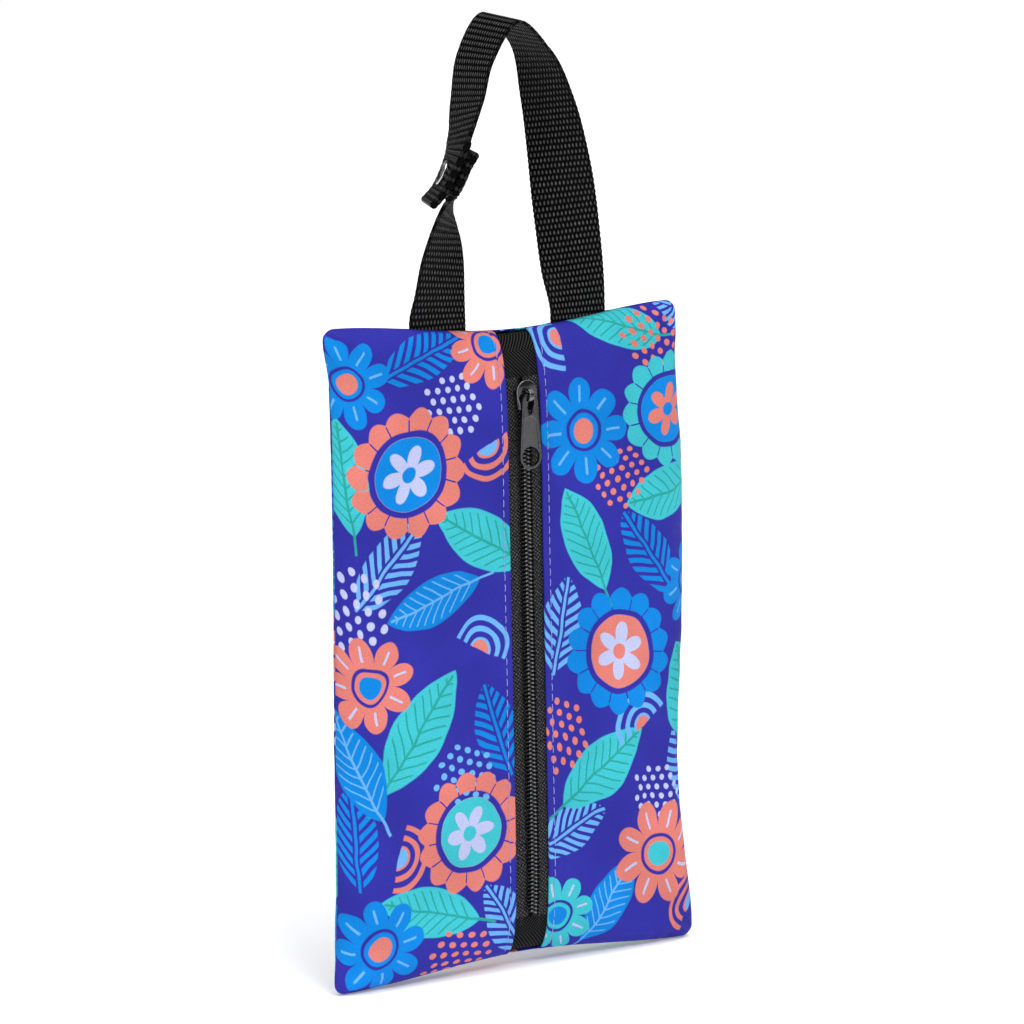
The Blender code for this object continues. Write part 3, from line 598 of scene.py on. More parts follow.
def tape(name, side, finish):
    """One woven tape, from the slit under the coil to well under the fold."""
    low = ZIP_LOW + BOTTOM_TAB_LENGTH - TAPE_UNDER_TAB
    high = ZIP_HIGH - TOP_TAB_LENGTH + TAPE_UNDER_TAB
    step_up, step_across = 0.0016, 0.0007
    z = spaced(low, high, step_up)[:, None]
    x = spaced(TAPE_SLIT/2, FOLD_X + UNDERLAP, step_across)
    points = pouch_surface(side*x, height_share(z, TAPE_DEPTH), TAPE_DEPTH)
    cord = np.exp(-((x - COIL_WIDTH/2 - CORD_FROM_COIL)/CORD_HALF)**2)
    points[..., 1] -= CORD_RISE*cord
    cloth_map = np.stack(np.broadcast_arrays(side*x/MM, (z - low)/MM), axis=-1)
    bm = open_sheet(points, cloth_map, (0, -1, 0))
    node = "zipper_tape_left" if side < 0 else "zipper_tape_right"
    piece = piece_of(name, bm, finish, "pouch", (node,), 60)
    walled(piece, TAPE*0.8)
    return piece


def coil_line(side):
    """Middle line of one side's coil, a flattened helix, and how far forward it lies there."""
    low = COIL_LOW + COIL_PITCH/2
    high = COIL_HIGH - COIL_PITCH/2
    turns = int((high - low)/COIL_PITCH)
    turn = np.linspace(0, 2*math.pi*turns, 14*turns + 1)
    inner = -0.00028
    outer = COIL_WIDTH/2 - COIL_WIRE
    shift = 0.5 if side < 0 else 0.0
    x = (outer + inner)/2 + (outer - inner)/2*np.cos(turn)
    z = low + COIL_PITCH*(turn/(2*math.pi) + shift)
    middle = COIL_DEPTH + COIL_HEIGHT/2
    points = pouch_surface(np.full(len(turn), side*outer/2), height_share(z, middle), middle)
    points[:, 0] = side*x
    points[:, 1] -= (COIL_HEIGHT/2 - COIL_WIRE)*np.sin(turn)
    return points, np.clip(np.sin(turn), 0, 1)


def coil(finish):
    """Both sides of the closed coil, interlocked along the middle."""
    bm = bmesh.new()
    for side in (-1, 1):
        line, front = coil_line(side)
        wire(bm, line, np.array((0.0, 0.0, 1.0)), COIL_WIRE, relief=front)
    close_up(bm, 1e-7)
    return piece_of("coil_teeth", bm, finish, "pouch", ("zipper_coil",), 80)


def coil_threads(finish):
    """The sewing threads that hold the coil on the tapes, two on each side."""
    z = spaced(COIL_LOW, COIL_HIGH, COIL_PITCH/6)
    sway = 0.00010
    bm = bmesh.new()
    for side in (-1, 1):
        for x, back in COIL_THREADS:
            points = pouch_surface(np.full(len(z), side*x), height_share(z, COIL_DEPTH),
                                   COIL_DEPTH)
            beat = np.cos(2*math.pi*(z/COIL_PITCH + (0.5 if side < 0 else 0.0)))
            points[:, 1] += back + 1.2*sway - sway*beat
            points[:, 0] += side*sway*np.sin(2*math.pi*z/COIL_PITCH)
            wire(bm, points, np.array((1.0, 0.0, 0.0)), COIL_THREAD, 5)
    close_up(bm)
    return piece_of("coil_threads", bm, finish, "pouch")


def tab_weave(x, z, turn_z):
    """Height of the tab's herringbone: slanting cords that change direction at one level."""
    lean = np.where(z > turn_z, 0.62, -0.78)
    rise = z - turn_z
    cord = 0.5 + 0.5*np.cos(2*math.pi*(x*np.cos(lean) - rise*np.sin(lean))/TAB_CORD)
    beat = 0.5 + 0.5*np.cos(2*math.pi*(x*np.sin(lean) + rise*np.cos(lean))/TAB_BEAT)
    return cord**0.7*(0.55 + 0.45*beat)


def end_tab(name, length, at_top, finish):
    """A coarse woven tab over one end of the zip, with a rounded end."""
    seam = 1.0 if at_top else 0.0
    end = ZIP_HIGH - length if at_top else ZIP_LOW + length
    share = spaced(0, 1, TAB_STEP/length)[:, None]
    half = FOLD_X + TAB_OVERLAP
    x = spaced(-half, half, TAB_STEP)
    start = height_share(end, TAPE_DEPTH)
    height = start + (seam - start)*share
    rounding = np.clip(1 - share*length/TAB_ROUND, 0, 1)
    depth = TAPE_DEPTH + TAB_TURN_IN*(1 - np.sqrt(1 - rounding**2))
    points = pouch_surface(x, height, depth)
    weave = tab_weave(points[..., 0], points[..., 2], end + (0.58 if at_top else -0.45)*length)
    points[..., 1] -= TAB_RELIEF*weave*(1 - rounding)
    cloth_map = np.stack((points[..., 0]/MM, points[..., 2]/MM), axis=-1)
    bm = open_sheet(points, cloth_map, (0, -1, 0), weave)
    node = "end_tab_top" if at_top else "end_tab_bottom"
    piece = piece_of(name, bm, finish, "pouch", (node,), 180)
    walled(piece, TAB*0.7)
    return piece


# Slider and pull

def outline_plate(outline, front, back, bevel, segments=3):
    """A bmesh plate from an outline of (x, z) points, with both rims rounded off."""
    bm = bmesh.new()
    face = bm.faces.new([bm.verts.new((x, front, z)) for x, z in outline])
    grown = bmesh.ops.extrude_face_region(bm, geom=[face], use_keep_orig=True)
    moved = [item for item in grown["geom"] if isinstance(item, bmesh.types.BMVert)]
    bmesh.ops.translate(bm, verts=moved, vec=(0, back - front, 0))
    bmesh.ops.recalc_face_normals(bm, faces=bm.faces)
    if bevel:
        rims = [edge for edge in bm.edges
                if abs(edge.verts[0].co.y - edge.verts[1].co.y) < 1e-9]
        bmesh.ops.bevel(bm, geom=rims, offset=bevel, segments=segments, profile=0.5,
                        affect="EDGES", material=-1)
    return bm


def merged(target, source):
    """Add one bmesh to another and free it."""
    mesh = bpy.data.meshes.new("passing")
    source.to_mesh(mesh)
    source.free()
    target.from_mesh(mesh)
    bpy.data.meshes.remove(mesh)


def mark_edges(bm):
    """Mark the faces that lie between a plate's flat faces and its sides, which the materials paint
    light as a highlight.
    """
    layer = bm.faces.layers.float.new("edge")
    for face in bm.faces:
        tilt = abs(face.normal.y)
        face[layer] = 1.0 if 0.2 < tilt < 0.96 else 0.0


def arc(centre, radius, start, end, count=7):
    """Points of an arc in a plane, angles in degrees."""
    angles = np.radians(np.linspace(start, end, count))
    return [(centre[0] + radius*math.cos(a), centre[1] + radius*math.sin(a)) for a in angles]


def slider_outline(head, tail, half):
    """Rounded head, then sides that draw in towards the tail."""
    narrow = half*0.74
    corner = half*0.22
    left = [(-half, head - half*1.15), (-half*0.97, head - half*1.5),
            (-narrow*1.04, tail + corner*3), (-narrow, tail + corner), (-narrow + corner, tail)]
    return (arc((0.0, head - half), half, 0, 180, 25) + left
            + [(-x, z) for x, z in reversed(left)])


def slider(finish):
    """Enamelled slider: top plate with rounded rims, flanges, post, back plate and arched bail."""
    low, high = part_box("slider_body")
    head, tail = high.z, low.z
    half = high.x
    pull_low, pull_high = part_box("slider_pull")
    axis = Vector((0, (pull_low.y + pull_high.y)/2, pull_high.z - PULL_BAR/2))
    crown = float(pouch_surface(np.array(0.0), height_share(tail, COIL_DEPTH), COIL_DEPTH)[1])
    plate_back = crown - SEAT_GAP
    plate_front = plate_back - SLIDER_PLATE
    outline = slider_outline(head, tail, half)
    bm = outline_plate(outline, plate_front, plate_back, 0.0005, 4)
    tape_front = plate_back + COIL_HEIGHT
    bite = 0.0003
    for side in (-1, 1):
        wall = [(side*x, z) for x, z in (
            (half*0.97, head - half*1.2), (half*0.97, head - half*0.9), (half*0.80, head - half),
            (half*0.58, tail + 0.0006), (half*0.74, tail + 0.0006))]
        merged(bm, outline_plate(wall, plate_back - bite, tape_front, 0.00015, 2))
    post_half, post_high, post_low = 0.0008, head - 0.0012, head - 0.0042
    post = [(-post_half, post_high), (post_half, post_high),
            (post_half, post_low), (-post_half, post_low)]
    merged(bm, outline_plate(post, plate_back - bite, high.y - 0.0008, 0.0))
    inset = [(x*0.98, z) for x, z in outline]
    merged(bm, outline_plate(inset, high.y - SLIDER_PLATE, high.y, 0.0003))
    merged(bm, bail(axis, plate_front + 0.0004, low.y))
    mark_edges(bm)
    return piece_of("slider", bm, finish, "pouch", ("slider_body",), 40)


def bail(axis, base, front):
    """The bridge over the pull's bar: a flat strip with rounded edges, arched over the axis."""
    reach = axis.y - front - BAIL_THICK/2
    foot = np.linspace(base, axis.y, 5)[:-1]
    turn = np.linspace(0, math.pi, 25)
    y = np.concatenate((foot, axis.y - reach*np.sin(turn), foot[::-1]))
    z = axis.z + reach*np.concatenate((np.ones(4), np.cos(turn), -np.ones(4)))
    line = np.stack((0*y, y, z), axis=1)
    ahead = unit(np.gradient(line, axis=0))
    width = np.broadcast_to((1.0, 0.0, 0.0), line.shape)
    out = np.cross(ahead, width)
    turn = np.linspace(0, 2*math.pi, 25)
    flat = np.sign(np.cos(turn))*np.abs(np.cos(turn))**0.45*BAIL_HALF
    high = np.sign(np.sin(turn))*np.abs(np.sin(turn))**0.6*BAIL_THICK/2
    spread = 1 + 0.35*np.clip((line[:, 1] - axis.y)/(base - axis.y), 0, 1)
    points = (line[:, None] + width[:, None]*(spread[:, None]*flat)[..., None]
              + out[:, None]*high[None, :, None])
    bm = bmesh.new()
    lay_grid(bm, points)
    close_up(bm)
    return bm


def two_circles(top_z, top_radius, low_z, low_radius, count=21):
    """Outline round two circles on the middle line, as (x, z) points."""
    lean = math.degrees(math.asin((low_radius - top_radius)/(top_z - low_z)))
    return (arc((0.0, top_z), top_radius, lean, 180 - lean, count)
            + arc((0.0, low_z), low_radius, 180 - lean, 360 + lean, count))


def carved(name, bm, cutters, bevel):
    """A bmesh with shapes cut out of it and its edges broken, as one new bmesh."""
    body = object_of(name, bm)
    tools = [object_of(name + "_cutter", cutter) for cutter in cutters]
    for tool in tools:
        modified(body, "cut", "BOOLEAN", operation="DIFFERENCE", solver="EXACT", object=tool)
    modified(body, "edges", "BEVEL", width=bevel, segments=2, limit_method="ANGLE",
             angle_limit=math.radians(50))
    bpy.context.view_layer.update()
    finished = body.evaluated_get(bpy.context.evaluated_depsgraph_get())
    mesh = bpy.data.meshes.new_from_object(finished)
    result = bmesh.new()
    result.from_mesh(mesh)
    bpy.data.meshes.remove(mesh)
    for made in [body] + tools:
        bpy.data.objects.remove(made)
    return result


def pull(finish):
    """Flat metal pull: teardrop slot at the bail, sunk panel and a wide hole at its end."""
    low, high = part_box("slider_pull")
    front, back = low.y, high.y
    past = high.y - low.y
    end_radius = (high.x - low.x)/2
    top_radius = end_radius*0.70
    hole = end_radius - PULL_RIM
    hole_z = low.z + end_radius
    body = outline_plate(two_circles(high.z - top_radius, top_radius, hole_z, end_radius),
                         front, back, 0.0)
    slot_wide, slot_narrow, slot_length = PULL_SLOT
    slot_top = high.z - PULL_BAR
    slot = outline_plate(two_circles(slot_top - slot_wide, slot_wide,
                                     slot_top - slot_length + slot_narrow, slot_narrow, 17),
                         front - past, back + past, 0.0)
    ring = outline_plate(arc((0.0, hole_z), hole, 0, 351, 40), front - past, back + past, 0.0)
    panel_high = slot_top - slot_length - 0.0007
    panel_half = top_radius - 0.0005
    crown = arc((0.0, panel_high - panel_half), panel_half, 0, 180, 15)
    panel = outline_plate(crown + [(-hole, hole_z), (hole, hole_z)],
                          front - past, front + PULL_RECESS, 0.0)
    bm = carved("pull_plate", body, (slot, ring, panel), PULL_BEVEL)
    mark_edges(bm)
    return piece_of("pull_tab", bm, finish, "pull", ("slider_pull",), 35)


# Webbing

def snap_frame():
    """Middle of the snap, the webbing's width and upward headings, and the snap's axis."""
    middle = Vector((SNAP_ACROSS*LOOP_SPAN, SNAP_BACK*LOOP_SPAN, FOOT_Z + SNAP_UP*LOOP_HEIGHT))
    level = Vector((math.sin(SNAP_TURN), -math.cos(SNAP_TURN), 0.0))
    width = Vector((math.cos(SNAP_TURN), math.sin(SNAP_TURN), 0.0))
    upward = level*math.sin(SNAP_LEAN) + Vector((0, 0, math.cos(SNAP_LEAN)))
    axis = level*math.cos(SNAP_LEAN) - Vector((0, 0, math.sin(SNAP_LEAN)))
    return middle, width, upward, axis


def snap_seat(side):
    """Middle of the doubled webbing at the snap: -1 for the long strap and 1 for the short."""
    middle, _, _, axis = snap_frame()
    return middle + axis*side*(SNAP_SPACE + HEM)/2


def strap_route(table, side, stations):
    """Points and turns of a strap from its sewn end, over its route, to its free end."""
    points = [(table[1][0]*LOOP_SPAN, 0.0, FOOT_Z - STRAP_INSIDE, 0.0, 0.0)]
    for across, back, up, turn, tip in table[1:]:
        points.append((across*LOOP_SPAN, back*LOOP_SPAN, FOOT_Z + up*LOOP_HEIGHT, turn, tip))
    _, _, upward, axis = snap_frame()
    turn = math.degrees(SNAP_TURN) - side*SNAP_SPLAY - (180.0 if side < 0 else 0.0)
    for along, flare, untwist in stations:
        place = snap_seat(side) + upward*along + axis*side*flare*TAIL_FLARE
        points.append((*place, turn + untwist, 0.0))
    return np.array(points)


def smooth_route(points, count=2400):
    """Closely spaced points on a smooth curve through the route's points, and their distances."""
    spans = np.linalg.norm(np.diff(points[:, :3], axis=0), axis=1)
    knots = np.concatenate([[0.0], np.cumsum(spans)])
    slopes = np.gradient(points, knots, axis=0)
    fine = np.linspace(0.0, knots[-1], count)
    spot = np.clip(np.searchsorted(knots, fine, side="right") - 1, 0, len(knots) - 2)
    step = (knots[spot + 1] - knots[spot])[:, None]
    share = ((fine - knots[spot])[:, None])/step
    curve = ((2*share**3 - 3*share**2 + 1)*points[spot]
             + (share**3 - 2*share**2 + share)*step*slopes[spot]
             + (3*share**2 - 2*share**3)*points[spot + 1]
             + (share**3 - share**2)*step*slopes[spot + 1])
    steps = np.linalg.norm(np.diff(curve[:, :3], axis=0), axis=1)
    return np.concatenate([[0.0], np.cumsum(steps)]), curve


def strap_axes(distances, along, curve):
    """Middle line of a strap at some distances, and its width and face there."""
    here = read_along(distances, along, curve)
    past = np.minimum(distances + STRAP_THICKNESS, along[-1])
    before = np.maximum(distances - STRAP_THICKNESS, 0.0)
    ahead = unit((read_along(past, along, curve) - read_along(before, along, curve))[:, :3])
    turn, tip = np.radians(here[:, 3]), np.radians(here[:, 4])
    width = np.stack((np.cos(turn)*np.cos(tip), np.sin(turn)*np.cos(tip), np.sin(tip)), axis=1)
    width = unit(width - ahead*(width*ahead).sum(axis=1, keepdims=True))
    return here[:, :3], width, np.cross(ahead, width)


def floats(along, across):
    """Height of the weave, from 0 in the grooves to 1 on the floats' backs."""
    row = np.floor(along/FLOAT_ROW)
    in_row = along/FLOAT_ROW - row - 0.5
    place = across/FLOAT_PITCH + 0.5*np.mod(row, 2)
    in_float = place - np.floor(place) - 0.5
    past = (np.abs(in_float)/FLOAT_WIDE)**2 + (np.abs(in_row)/FLOAT_LONG)**2.6
    return np.sqrt(np.clip(1 - past, 0, 1))


def strap_faces(distances, length, hem, cut_side):
    """Distances of both faces from the middle line: doubled at the hem, round at the fold."""
    single = STRAP_THICKNESS/2
    from_cut = distances - (length - hem)
    step = np.clip(from_cut/0.0007 + 0.5, 0, 1)
    ramp = np.clip(from_cut/0.0080 + 1.0, 0, 1)
    ramp = ramp*ramp*(3 - 2*ramp)
    past = np.clip((distances - (length - STRAP_THICKNESS))/STRAP_THICKNESS, 0, 1)
    rounding = np.sqrt(np.clip(1 - past**2, 0.0004, 1))
    cut_face = (single + single*step)*rounding
    long_face = (single + single*ramp)*rounding
    return (cut_face, long_face) if cut_side > 0 else (long_face, cut_face)


def webbing(which, finish):
    """A woven strap with its floats in relief, its end folded back and its foot sewn in."""
    table, side, stations, hem = STRAPS[which]
    along, curve = smooth_route(strap_route(table, side, stations))
    length = along[-1]
    tip = length - STRAP_THICKNESS*(1 - np.sin(np.radians((15, 30, 45, 60, 75, 85))))
    distances = np.concatenate((spaced(0.0, length - STRAP_THICKNESS, FLOAT_ROW/6), tip))
    middle, width, face = strap_axes(distances, along, curve)
    upper, lower = strap_faces(distances, length, hem, side)
    doubled = np.clip((distances - (length - hem))/0.001, 0, 1)
    half = STRAP_WIDTH/2
    flat = spaced(-half + STRAP_EDGE, half - STRAP_EDGE, FLOAT_PITCH/4)
    edge_turn = np.radians(np.array((-72.0, -48.0, -24.0, 0.0, 24.0, 48.0, 72.0)))
    row_wave = 0.5 + 0.5*np.cos(2*math.pi*distances/FLOAT_ROW)
    calm = np.clip((length - distances)/0.0012, 0.15, 1)[:, None]
    rings, relief, maps = [], [], []

    def add_band(x, y, high):
        """Add columns of points: places across, distances from the middle line, and relief."""
        x, y, high, far = np.broadcast_arrays(x, y, high, distances[:, None])
        rings.append(middle[:, None] + width[:, None]*x[..., None] + face[:, None]*y[..., None])
        relief.append(high)
        maps.append(np.stack((x, far), axis=-1)/MM)

    for face_side, reach in ((-1, lower[:, None]), (1, upper[:, None])):
        edge_side = -face_side
        x = edge_side*flat
        high = floats(distances[:, None], x[None, :])
        add_band(x, face_side*(reach - FLOAT_RISE*(1 - high)*calm), high)
        rise = edge_side*np.sin(edge_turn)
        inset_single = STRAP_EDGE*(1 - np.cos(edge_turn))
        inset_double = STRAP_EDGE*(1 - np.sqrt(np.clip(1 - (2*np.abs(rise) - 1)**2, 0, 1)))
        inset = (inset_single*(1 - doubled[:, None]) + inset_double*doubled[:, None]
                 + EDGE_WAVE*row_wave[:, None]*np.cos(edge_turn))
        reach = np.where(rise > 0, upper[:, None], lower[:, None]) - FLOAT_RISE*0.4
        add_band(edge_side*(half - inset), rise*reach, 0.35 + 0.3*row_wave[:, None])
    points, high, cloth_map = (np.concatenate(bands + [bands[0][:, :1]], axis=1)
                               for bands in (rings, relief, maps))
    bm = bmesh.new()
    lay_grid(bm, points, cloth_map, high)
    close_up(bm, 1e-7)
    return piece_of("webbing_" + which, bm, finish, "pouch", ("strap_" + which,), 75)


def turned(name, profile, seat, finish, node, dark=None, shaded=(0.0, 0.0)):
    """A turned metal piece of the snap, from (radius, distance along its axis) points.

    Its outer faces between the two shaded radii get the dark finish.
    """
    _, width, upward, axis = snap_frame()
    bm = bmesh.new()
    verts = [bm.verts.new((radius, 0.0, distance)) for radius, distance in profile]
    edges = [bm.edges.new(pair) for pair in zip(verts, verts[1:])]
    if profile[0][0] > 0 or profile[-1][0] > 0:
        edges.append(bm.edges.new((verts[-1], verts[0])))
    bmesh.ops.spin(bm, geom=verts + edges, cent=(0, 0, 0), axis=(0, 0, 1), dvec=(0, 0, 0),
                   angle=2*math.pi, steps=56, use_merge=True)
    close_up(bm)
    for face in bm.faces:
        middle = face.calc_center_median()
        if shaded[0] < middle.xy.length < shaded[1] and face.normal.z < -0.5:
            face.material_index = 1
    place = Matrix((width, upward, axis)).transposed().to_4x4()
    place.translation = seat
    bmesh.ops.transform(bm, matrix=place, verts=bm.verts)
    piece = piece_of(name, bm, finish, "pouch", (node,), 40)
    if dark:
        piece.data.materials.append(dark)
    return piece


def snap(finish, dark):
    """The snap's ring cap on the long strap, socket between the straps, and stud."""
    face = -(HEM/2 + SNAP_TOUCH)
    rim = 0.00055
    post = (SNAP_POST, SNAP_SPACE/2 + HEM/2 - SEAT_GAP)
    cap = ([(0.0, post[1]), post, (post[0], face), (SNAP_CAP_RADIUS - rim*0.5, face)]
           + arc((SNAP_CAP_RADIUS - rim, face - rim), rim, 60, -90)
           + arc((SNAP_CAP_RADIUS - rim*2.2, face - rim), rim, -90, -150)
           + [(SNAP_CAP_RADIUS*0.60, face - rim*0.75), (SNAP_CAP_RADIUS*0.42, face - rim*0.85),
              (SNAP_CAP_RADIUS*0.30, face - rim*1.5), (0.0, face - rim*1.7)])
    middle = snap_frame()[0]
    half = SNAP_SOCKET/2
    bead = 0.00035
    bore, outer = 0.0017, 0.0042
    socket = (arc((outer - bead, half - bead), bead, 90, 0)
              + arc((outer - bead, bead - half), bead, 0, -90)
              + arc((bore + bead, bead - half), bead, -90, -180)
              + arc((bore + bead, half - bead), bead, 180, 90))
    head = HEM/2 + SNAP_TOUCH
    low = -SNAP_SPACE/2 - HEM/2 + SEAT_GAP
    brim = 0.0004
    stud = ([(0.0, low), (SNAP_POST, low), (SNAP_POST, head)]
            + arc((SNAP_CAP_RADIUS - brim, head + brim), brim, -60, 90)
            + [(SNAP_CAP_RADIUS*0.55, head + 0.00086), (0.0, head + 0.00088)])
    # The ring cap's recess between these radii gets the black enamel as painted shade
    return (turned("snap_ring", cap, snap_seat(-1), finish, "snap_cap", dark,
                   (SNAP_CAP_RADIUS*0.48, SNAP_CAP_RADIUS*0.80)),
            turned("snap_middle", socket, middle, finish, "snap_socket"),
            turned("snap_head", stud, snap_seat(1), finish, "snap_stud"))


def hem_stitches(which, finish):
    """Two rows of black thread across the doubled end of a strap."""
    table, side, stations, hem = STRAPS[which]
    along, curve = smooth_route(strap_route(table, side, stations))
    reach = STRAP_WIDTH/2 - HEM_STITCH_INSET
    across = np.linspace(-reach, reach, 40)[:, None]
    bm = bmesh.new()
    for row in HEM_ROWS:
        at = np.full(len(across), along[-1] - hem + row)
        middle, width, face = strap_axes(at, along, curve)
        for face_side in (-1, 1):
            line = middle + width*across + face*face_side*(HEM/2 - HEM_STITCH_BED)
            stitch_row(bm, line, face*face_side, HEM_STITCH_PITCH, HEM_STITCH_LENGTH, HEM_THREAD)
    close_up(bm)
    return piece_of("hem_thread_" + which, bm, finish, "pouch")


# Node wiring

class Wiring:
    """Adds nodes to one tree and joins them."""

    def __init__(self, tree):
        self.tree = tree

    def node(self, kind, **settings):
        made = self.tree.nodes.new(kind)
        for name, value in settings.items():
            setattr(made, name, value)
        return made

    def feed(self, socket, value):
        if isinstance(value, bpy.types.NodeSocket):
            self.tree.links.new(value, socket)
        else:
            socket.default_value = value

    def feed_named(self, sockets, **values):
        """Feed sockets by name, with _ for each space."""
        for name, value in values.items():
            self.feed(sockets[name.replace("_", " ")], value)

    def fed(self, kind, values, **settings):
        """Outputs of a new node whose first sockets get the values in order."""
        made = self.node(kind, **settings)
        for socket, value in zip(made.inputs, values):
            self.feed(socket, value)
        return made.outputs

    def math(self, operation, *values, clamp=False):
        return self.fed("ShaderNodeMath", values, operation=operation, use_clamp=clamp)[0]

    def times(self, first, second):
        return self.math("MULTIPLY", first, second)

    def minus(self, first, second):
        return self.math("SUBTRACT", first, second)

    def size(self, value):
        return self.math("ABSOLUTE", value)

    def inside(self, value, limit, soft):
        """1 where a value is under a limit and 0 past it, with a soft edge."""
        return self.math("MULTIPLY_ADD", value, -1.0/soft, limit/soft + 0.5, clamp=True)

    def vector(self, operation, *values):
        outputs = self.fed("ShaderNodeVectorMath", values, operation=operation)
        return outputs["Value" if operation == "LENGTH" else "Vector"]

    def split(self, vector):
        x, y, z = self.fed("ShaderNodeSeparateXYZ", (vector,))
        return x, y, z

    def join(self, x, y, z=0.0):
        return self.fed("ShaderNodeCombineXYZ", (x, y, z))[0]

    def spread(self, value, low, high, new_low=0.0, new_high=1.0):
        return self.fed("ShaderNodeMapRange", (value, low, high, new_low, new_high))[0]

    def attribute(self, name):
        return self.node("ShaderNodeAttribute", attribute_name=name).outputs["Fac"]

    def mix(self, share, under, over, blend="MIX"):
        made = self.node("ShaderNodeMix", data_type="RGBA", blend_type=blend)
        for socket, value in ((0, share), (6, under), (7, over)):
            self.feed(made.inputs[socket], value)
        return made.outputs[2]

    def mottle(self, place, scale, detail=2.0, rough=0.5, colour=False):
        made = self.node("ShaderNodeTexNoise")
        self.feed_named(made.inputs, Vector=place, Scale=scale, Detail=detail, Roughness=rough)
        return made.outputs["Color" if colour else "Fac"]

    def group(self, tree, **values):
        made = self.node("ShaderNodeGroup", node_tree=tree)
        self.feed_named(made.inputs, **values)
        return made.outputs


def new_group(name, inputs, outputs):
    """An empty shader group with named sockets, its wiring, and its input and output nodes."""
    tree = bpy.data.node_groups.new(name, "ShaderNodeTree")
    for label, kind in inputs:
        tree.interface.new_socket(label, in_out="INPUT", socket_type=kind)
    for label, kind in outputs:
        tree.interface.new_socket(label, in_out="OUTPUT", socket_type=kind)
    w = Wiring(tree)
    return tree, w, w.node("NodeGroupInput").outputs, w.node("NodeGroupOutput").inputs


NUMBER, COLOUR, PLACE = "NodeSocketFloat", "NodeSocketColor", "NodeSocketVector"


def paint(red, green, blue):
    """A linear colour from a 0 to 255 swatch."""
    def linear(level):
        share = level/255
        return share/12.92 if share <= 0.04045 else ((share + 0.055)/1.055)**2.4
    return (linear(red), linear(green), linear(blue), 1.0)


# Shared effects

def build_plain_weave():
    """Crossing threads: where one passes over, the other passes under."""
    tree, w, given, out = new_group("plain weave", (("Place", PLACE), ("Pitch", NUMBER)),
                                    (("Height", NUMBER),))
    x, y, _ = w.split(given["Place"])
    across = w.math("DIVIDE", x, given["Pitch"])
    up = w.math("DIVIDE", y, given["Pitch"])
    warp = w.math("SINE", w.times(across, math.pi))
    weft = w.math("SINE", w.times(up, math.pi))
    w.feed(out["Height"], w.size(w.times(warp, weft)))
    return tree


def build_floats():
    """The webbing's floats on its own map, with the strands that run along each."""
    tree, w, given, out = new_group("webbing floats", (("Cloth map", PLACE),),
                                    (("Height", NUMBER), ("Strands", NUMBER)))
    across, along, _ = w.split(given["Cloth map"])
    rows = w.times(along, MM/FLOAT_ROW)
    row = w.math("FLOOR", rows)
    in_row = w.size(w.minus(w.minus(rows, row), 0.5))
    stagger = w.times(w.math("FLOORED_MODULO", row, 2.0), 0.5)
    place = w.math("MULTIPLY_ADD", across, MM/FLOAT_PITCH, stagger)
    in_float = w.size(w.minus(w.math("FRACT", place), 0.5))
    past = w.math("POWER", w.math("DIVIDE", in_float, FLOAT_WIDE), 2.0)
    past_end = w.math("POWER", w.math("DIVIDE", in_row, FLOAT_LONG), 2.6)
    left = w.math("SUBTRACT", w.minus(1.0, past), past_end, clamp=True)
    w.feed(out["Height"], w.math("SQRT", left))
    lines = w.vector("MULTIPLY", given["Cloth map"], (4.6, 0.55, 1.0))
    w.feed(out["Strands"], w.mottle(lines, 1.0, 2.0, 0.6))
    return tree


def build_dusting():
    """Slow and fine variation of a surface, for its shade and its roughness."""
    tree, w, given, out = new_group("dusting", (("Place", PLACE), ("Size", NUMBER)),
                                    (("Slow", NUMBER), ("Fine", NUMBER)))
    size = given["Size"]
    place = w.vector("MULTIPLY", given["Place"], w.join(size, size, size))
    w.feed(out["Slow"], w.mottle(place, 1.0, 2.0))
    w.feed(out["Fine"], w.mottle(place, 9.0, 3.0, 0.6))
    return tree


# Printed cloth: motifs, each in its own frame from -1 to 1

def motif(name, draw, masks):
    """A shader group that draws one motif as masks."""
    tree, w, given, out = new_group(name, (("Place", PLACE),), [(mask, NUMBER) for mask in masks])
    x, y, _ = w.split(given["Place"])
    for mask, drawn in zip(masks, draw(w, x, y, given["Place"])):
        w.feed(out[mask], drawn)
    return tree


def polar(w, x, y, place):
    """Distance from the middle and turn about it."""
    return w.vector("LENGTH", place), w.math("ARCTAN2", y, x)


def stripes(w, value, count, width, soft):
    """1 on evenly spaced stripes, width being their share of the pitch."""
    beat = w.math("PINGPONG", w.times(value, float(count)), 0.5)
    return w.inside(beat, width/2, soft)


def draw_bloom(w, x, y, place):
    """Eight blunt petals with streaks, and an eye."""
    reach, turn = polar(w, x, y, place)
    beat = w.size(w.math("COSINE", w.times(turn, 4.0)))
    rim = w.math("MULTIPLY_ADD", w.math("POWER", beat, 0.45), 0.52, 0.46)
    shape = w.inside(w.minus(reach, rim), 0.0, 0.03)
    gap = w.inside(w.size(w.minus(reach, 0.36)), 0.035, 0.02)
    shape = w.math("SUBTRACT", shape, gap, clamp=True)
    off = w.size(w.math("SINE", w.times(turn, 4.0)))
    streak = w.inside(w.times(off, reach), 0.10, 0.03)
    middle = w.inside(w.size(w.minus(reach, 0.66)), 0.15, 0.03)
    marks = w.times(w.times(streak, middle), shape)
    return shape, marks, w.inside(reach, 0.23, 0.02)


def lens(w, x, y, wide):
    """Distance past the rim of a pointed oval that reaches from -1 to 1."""
    radius = (1 + wide*wide)/(2*wide)
    side = w.math("ADD", w.size(x), radius - wide)
    return w.minus(w.vector("LENGTH", w.join(side, y)), radius)


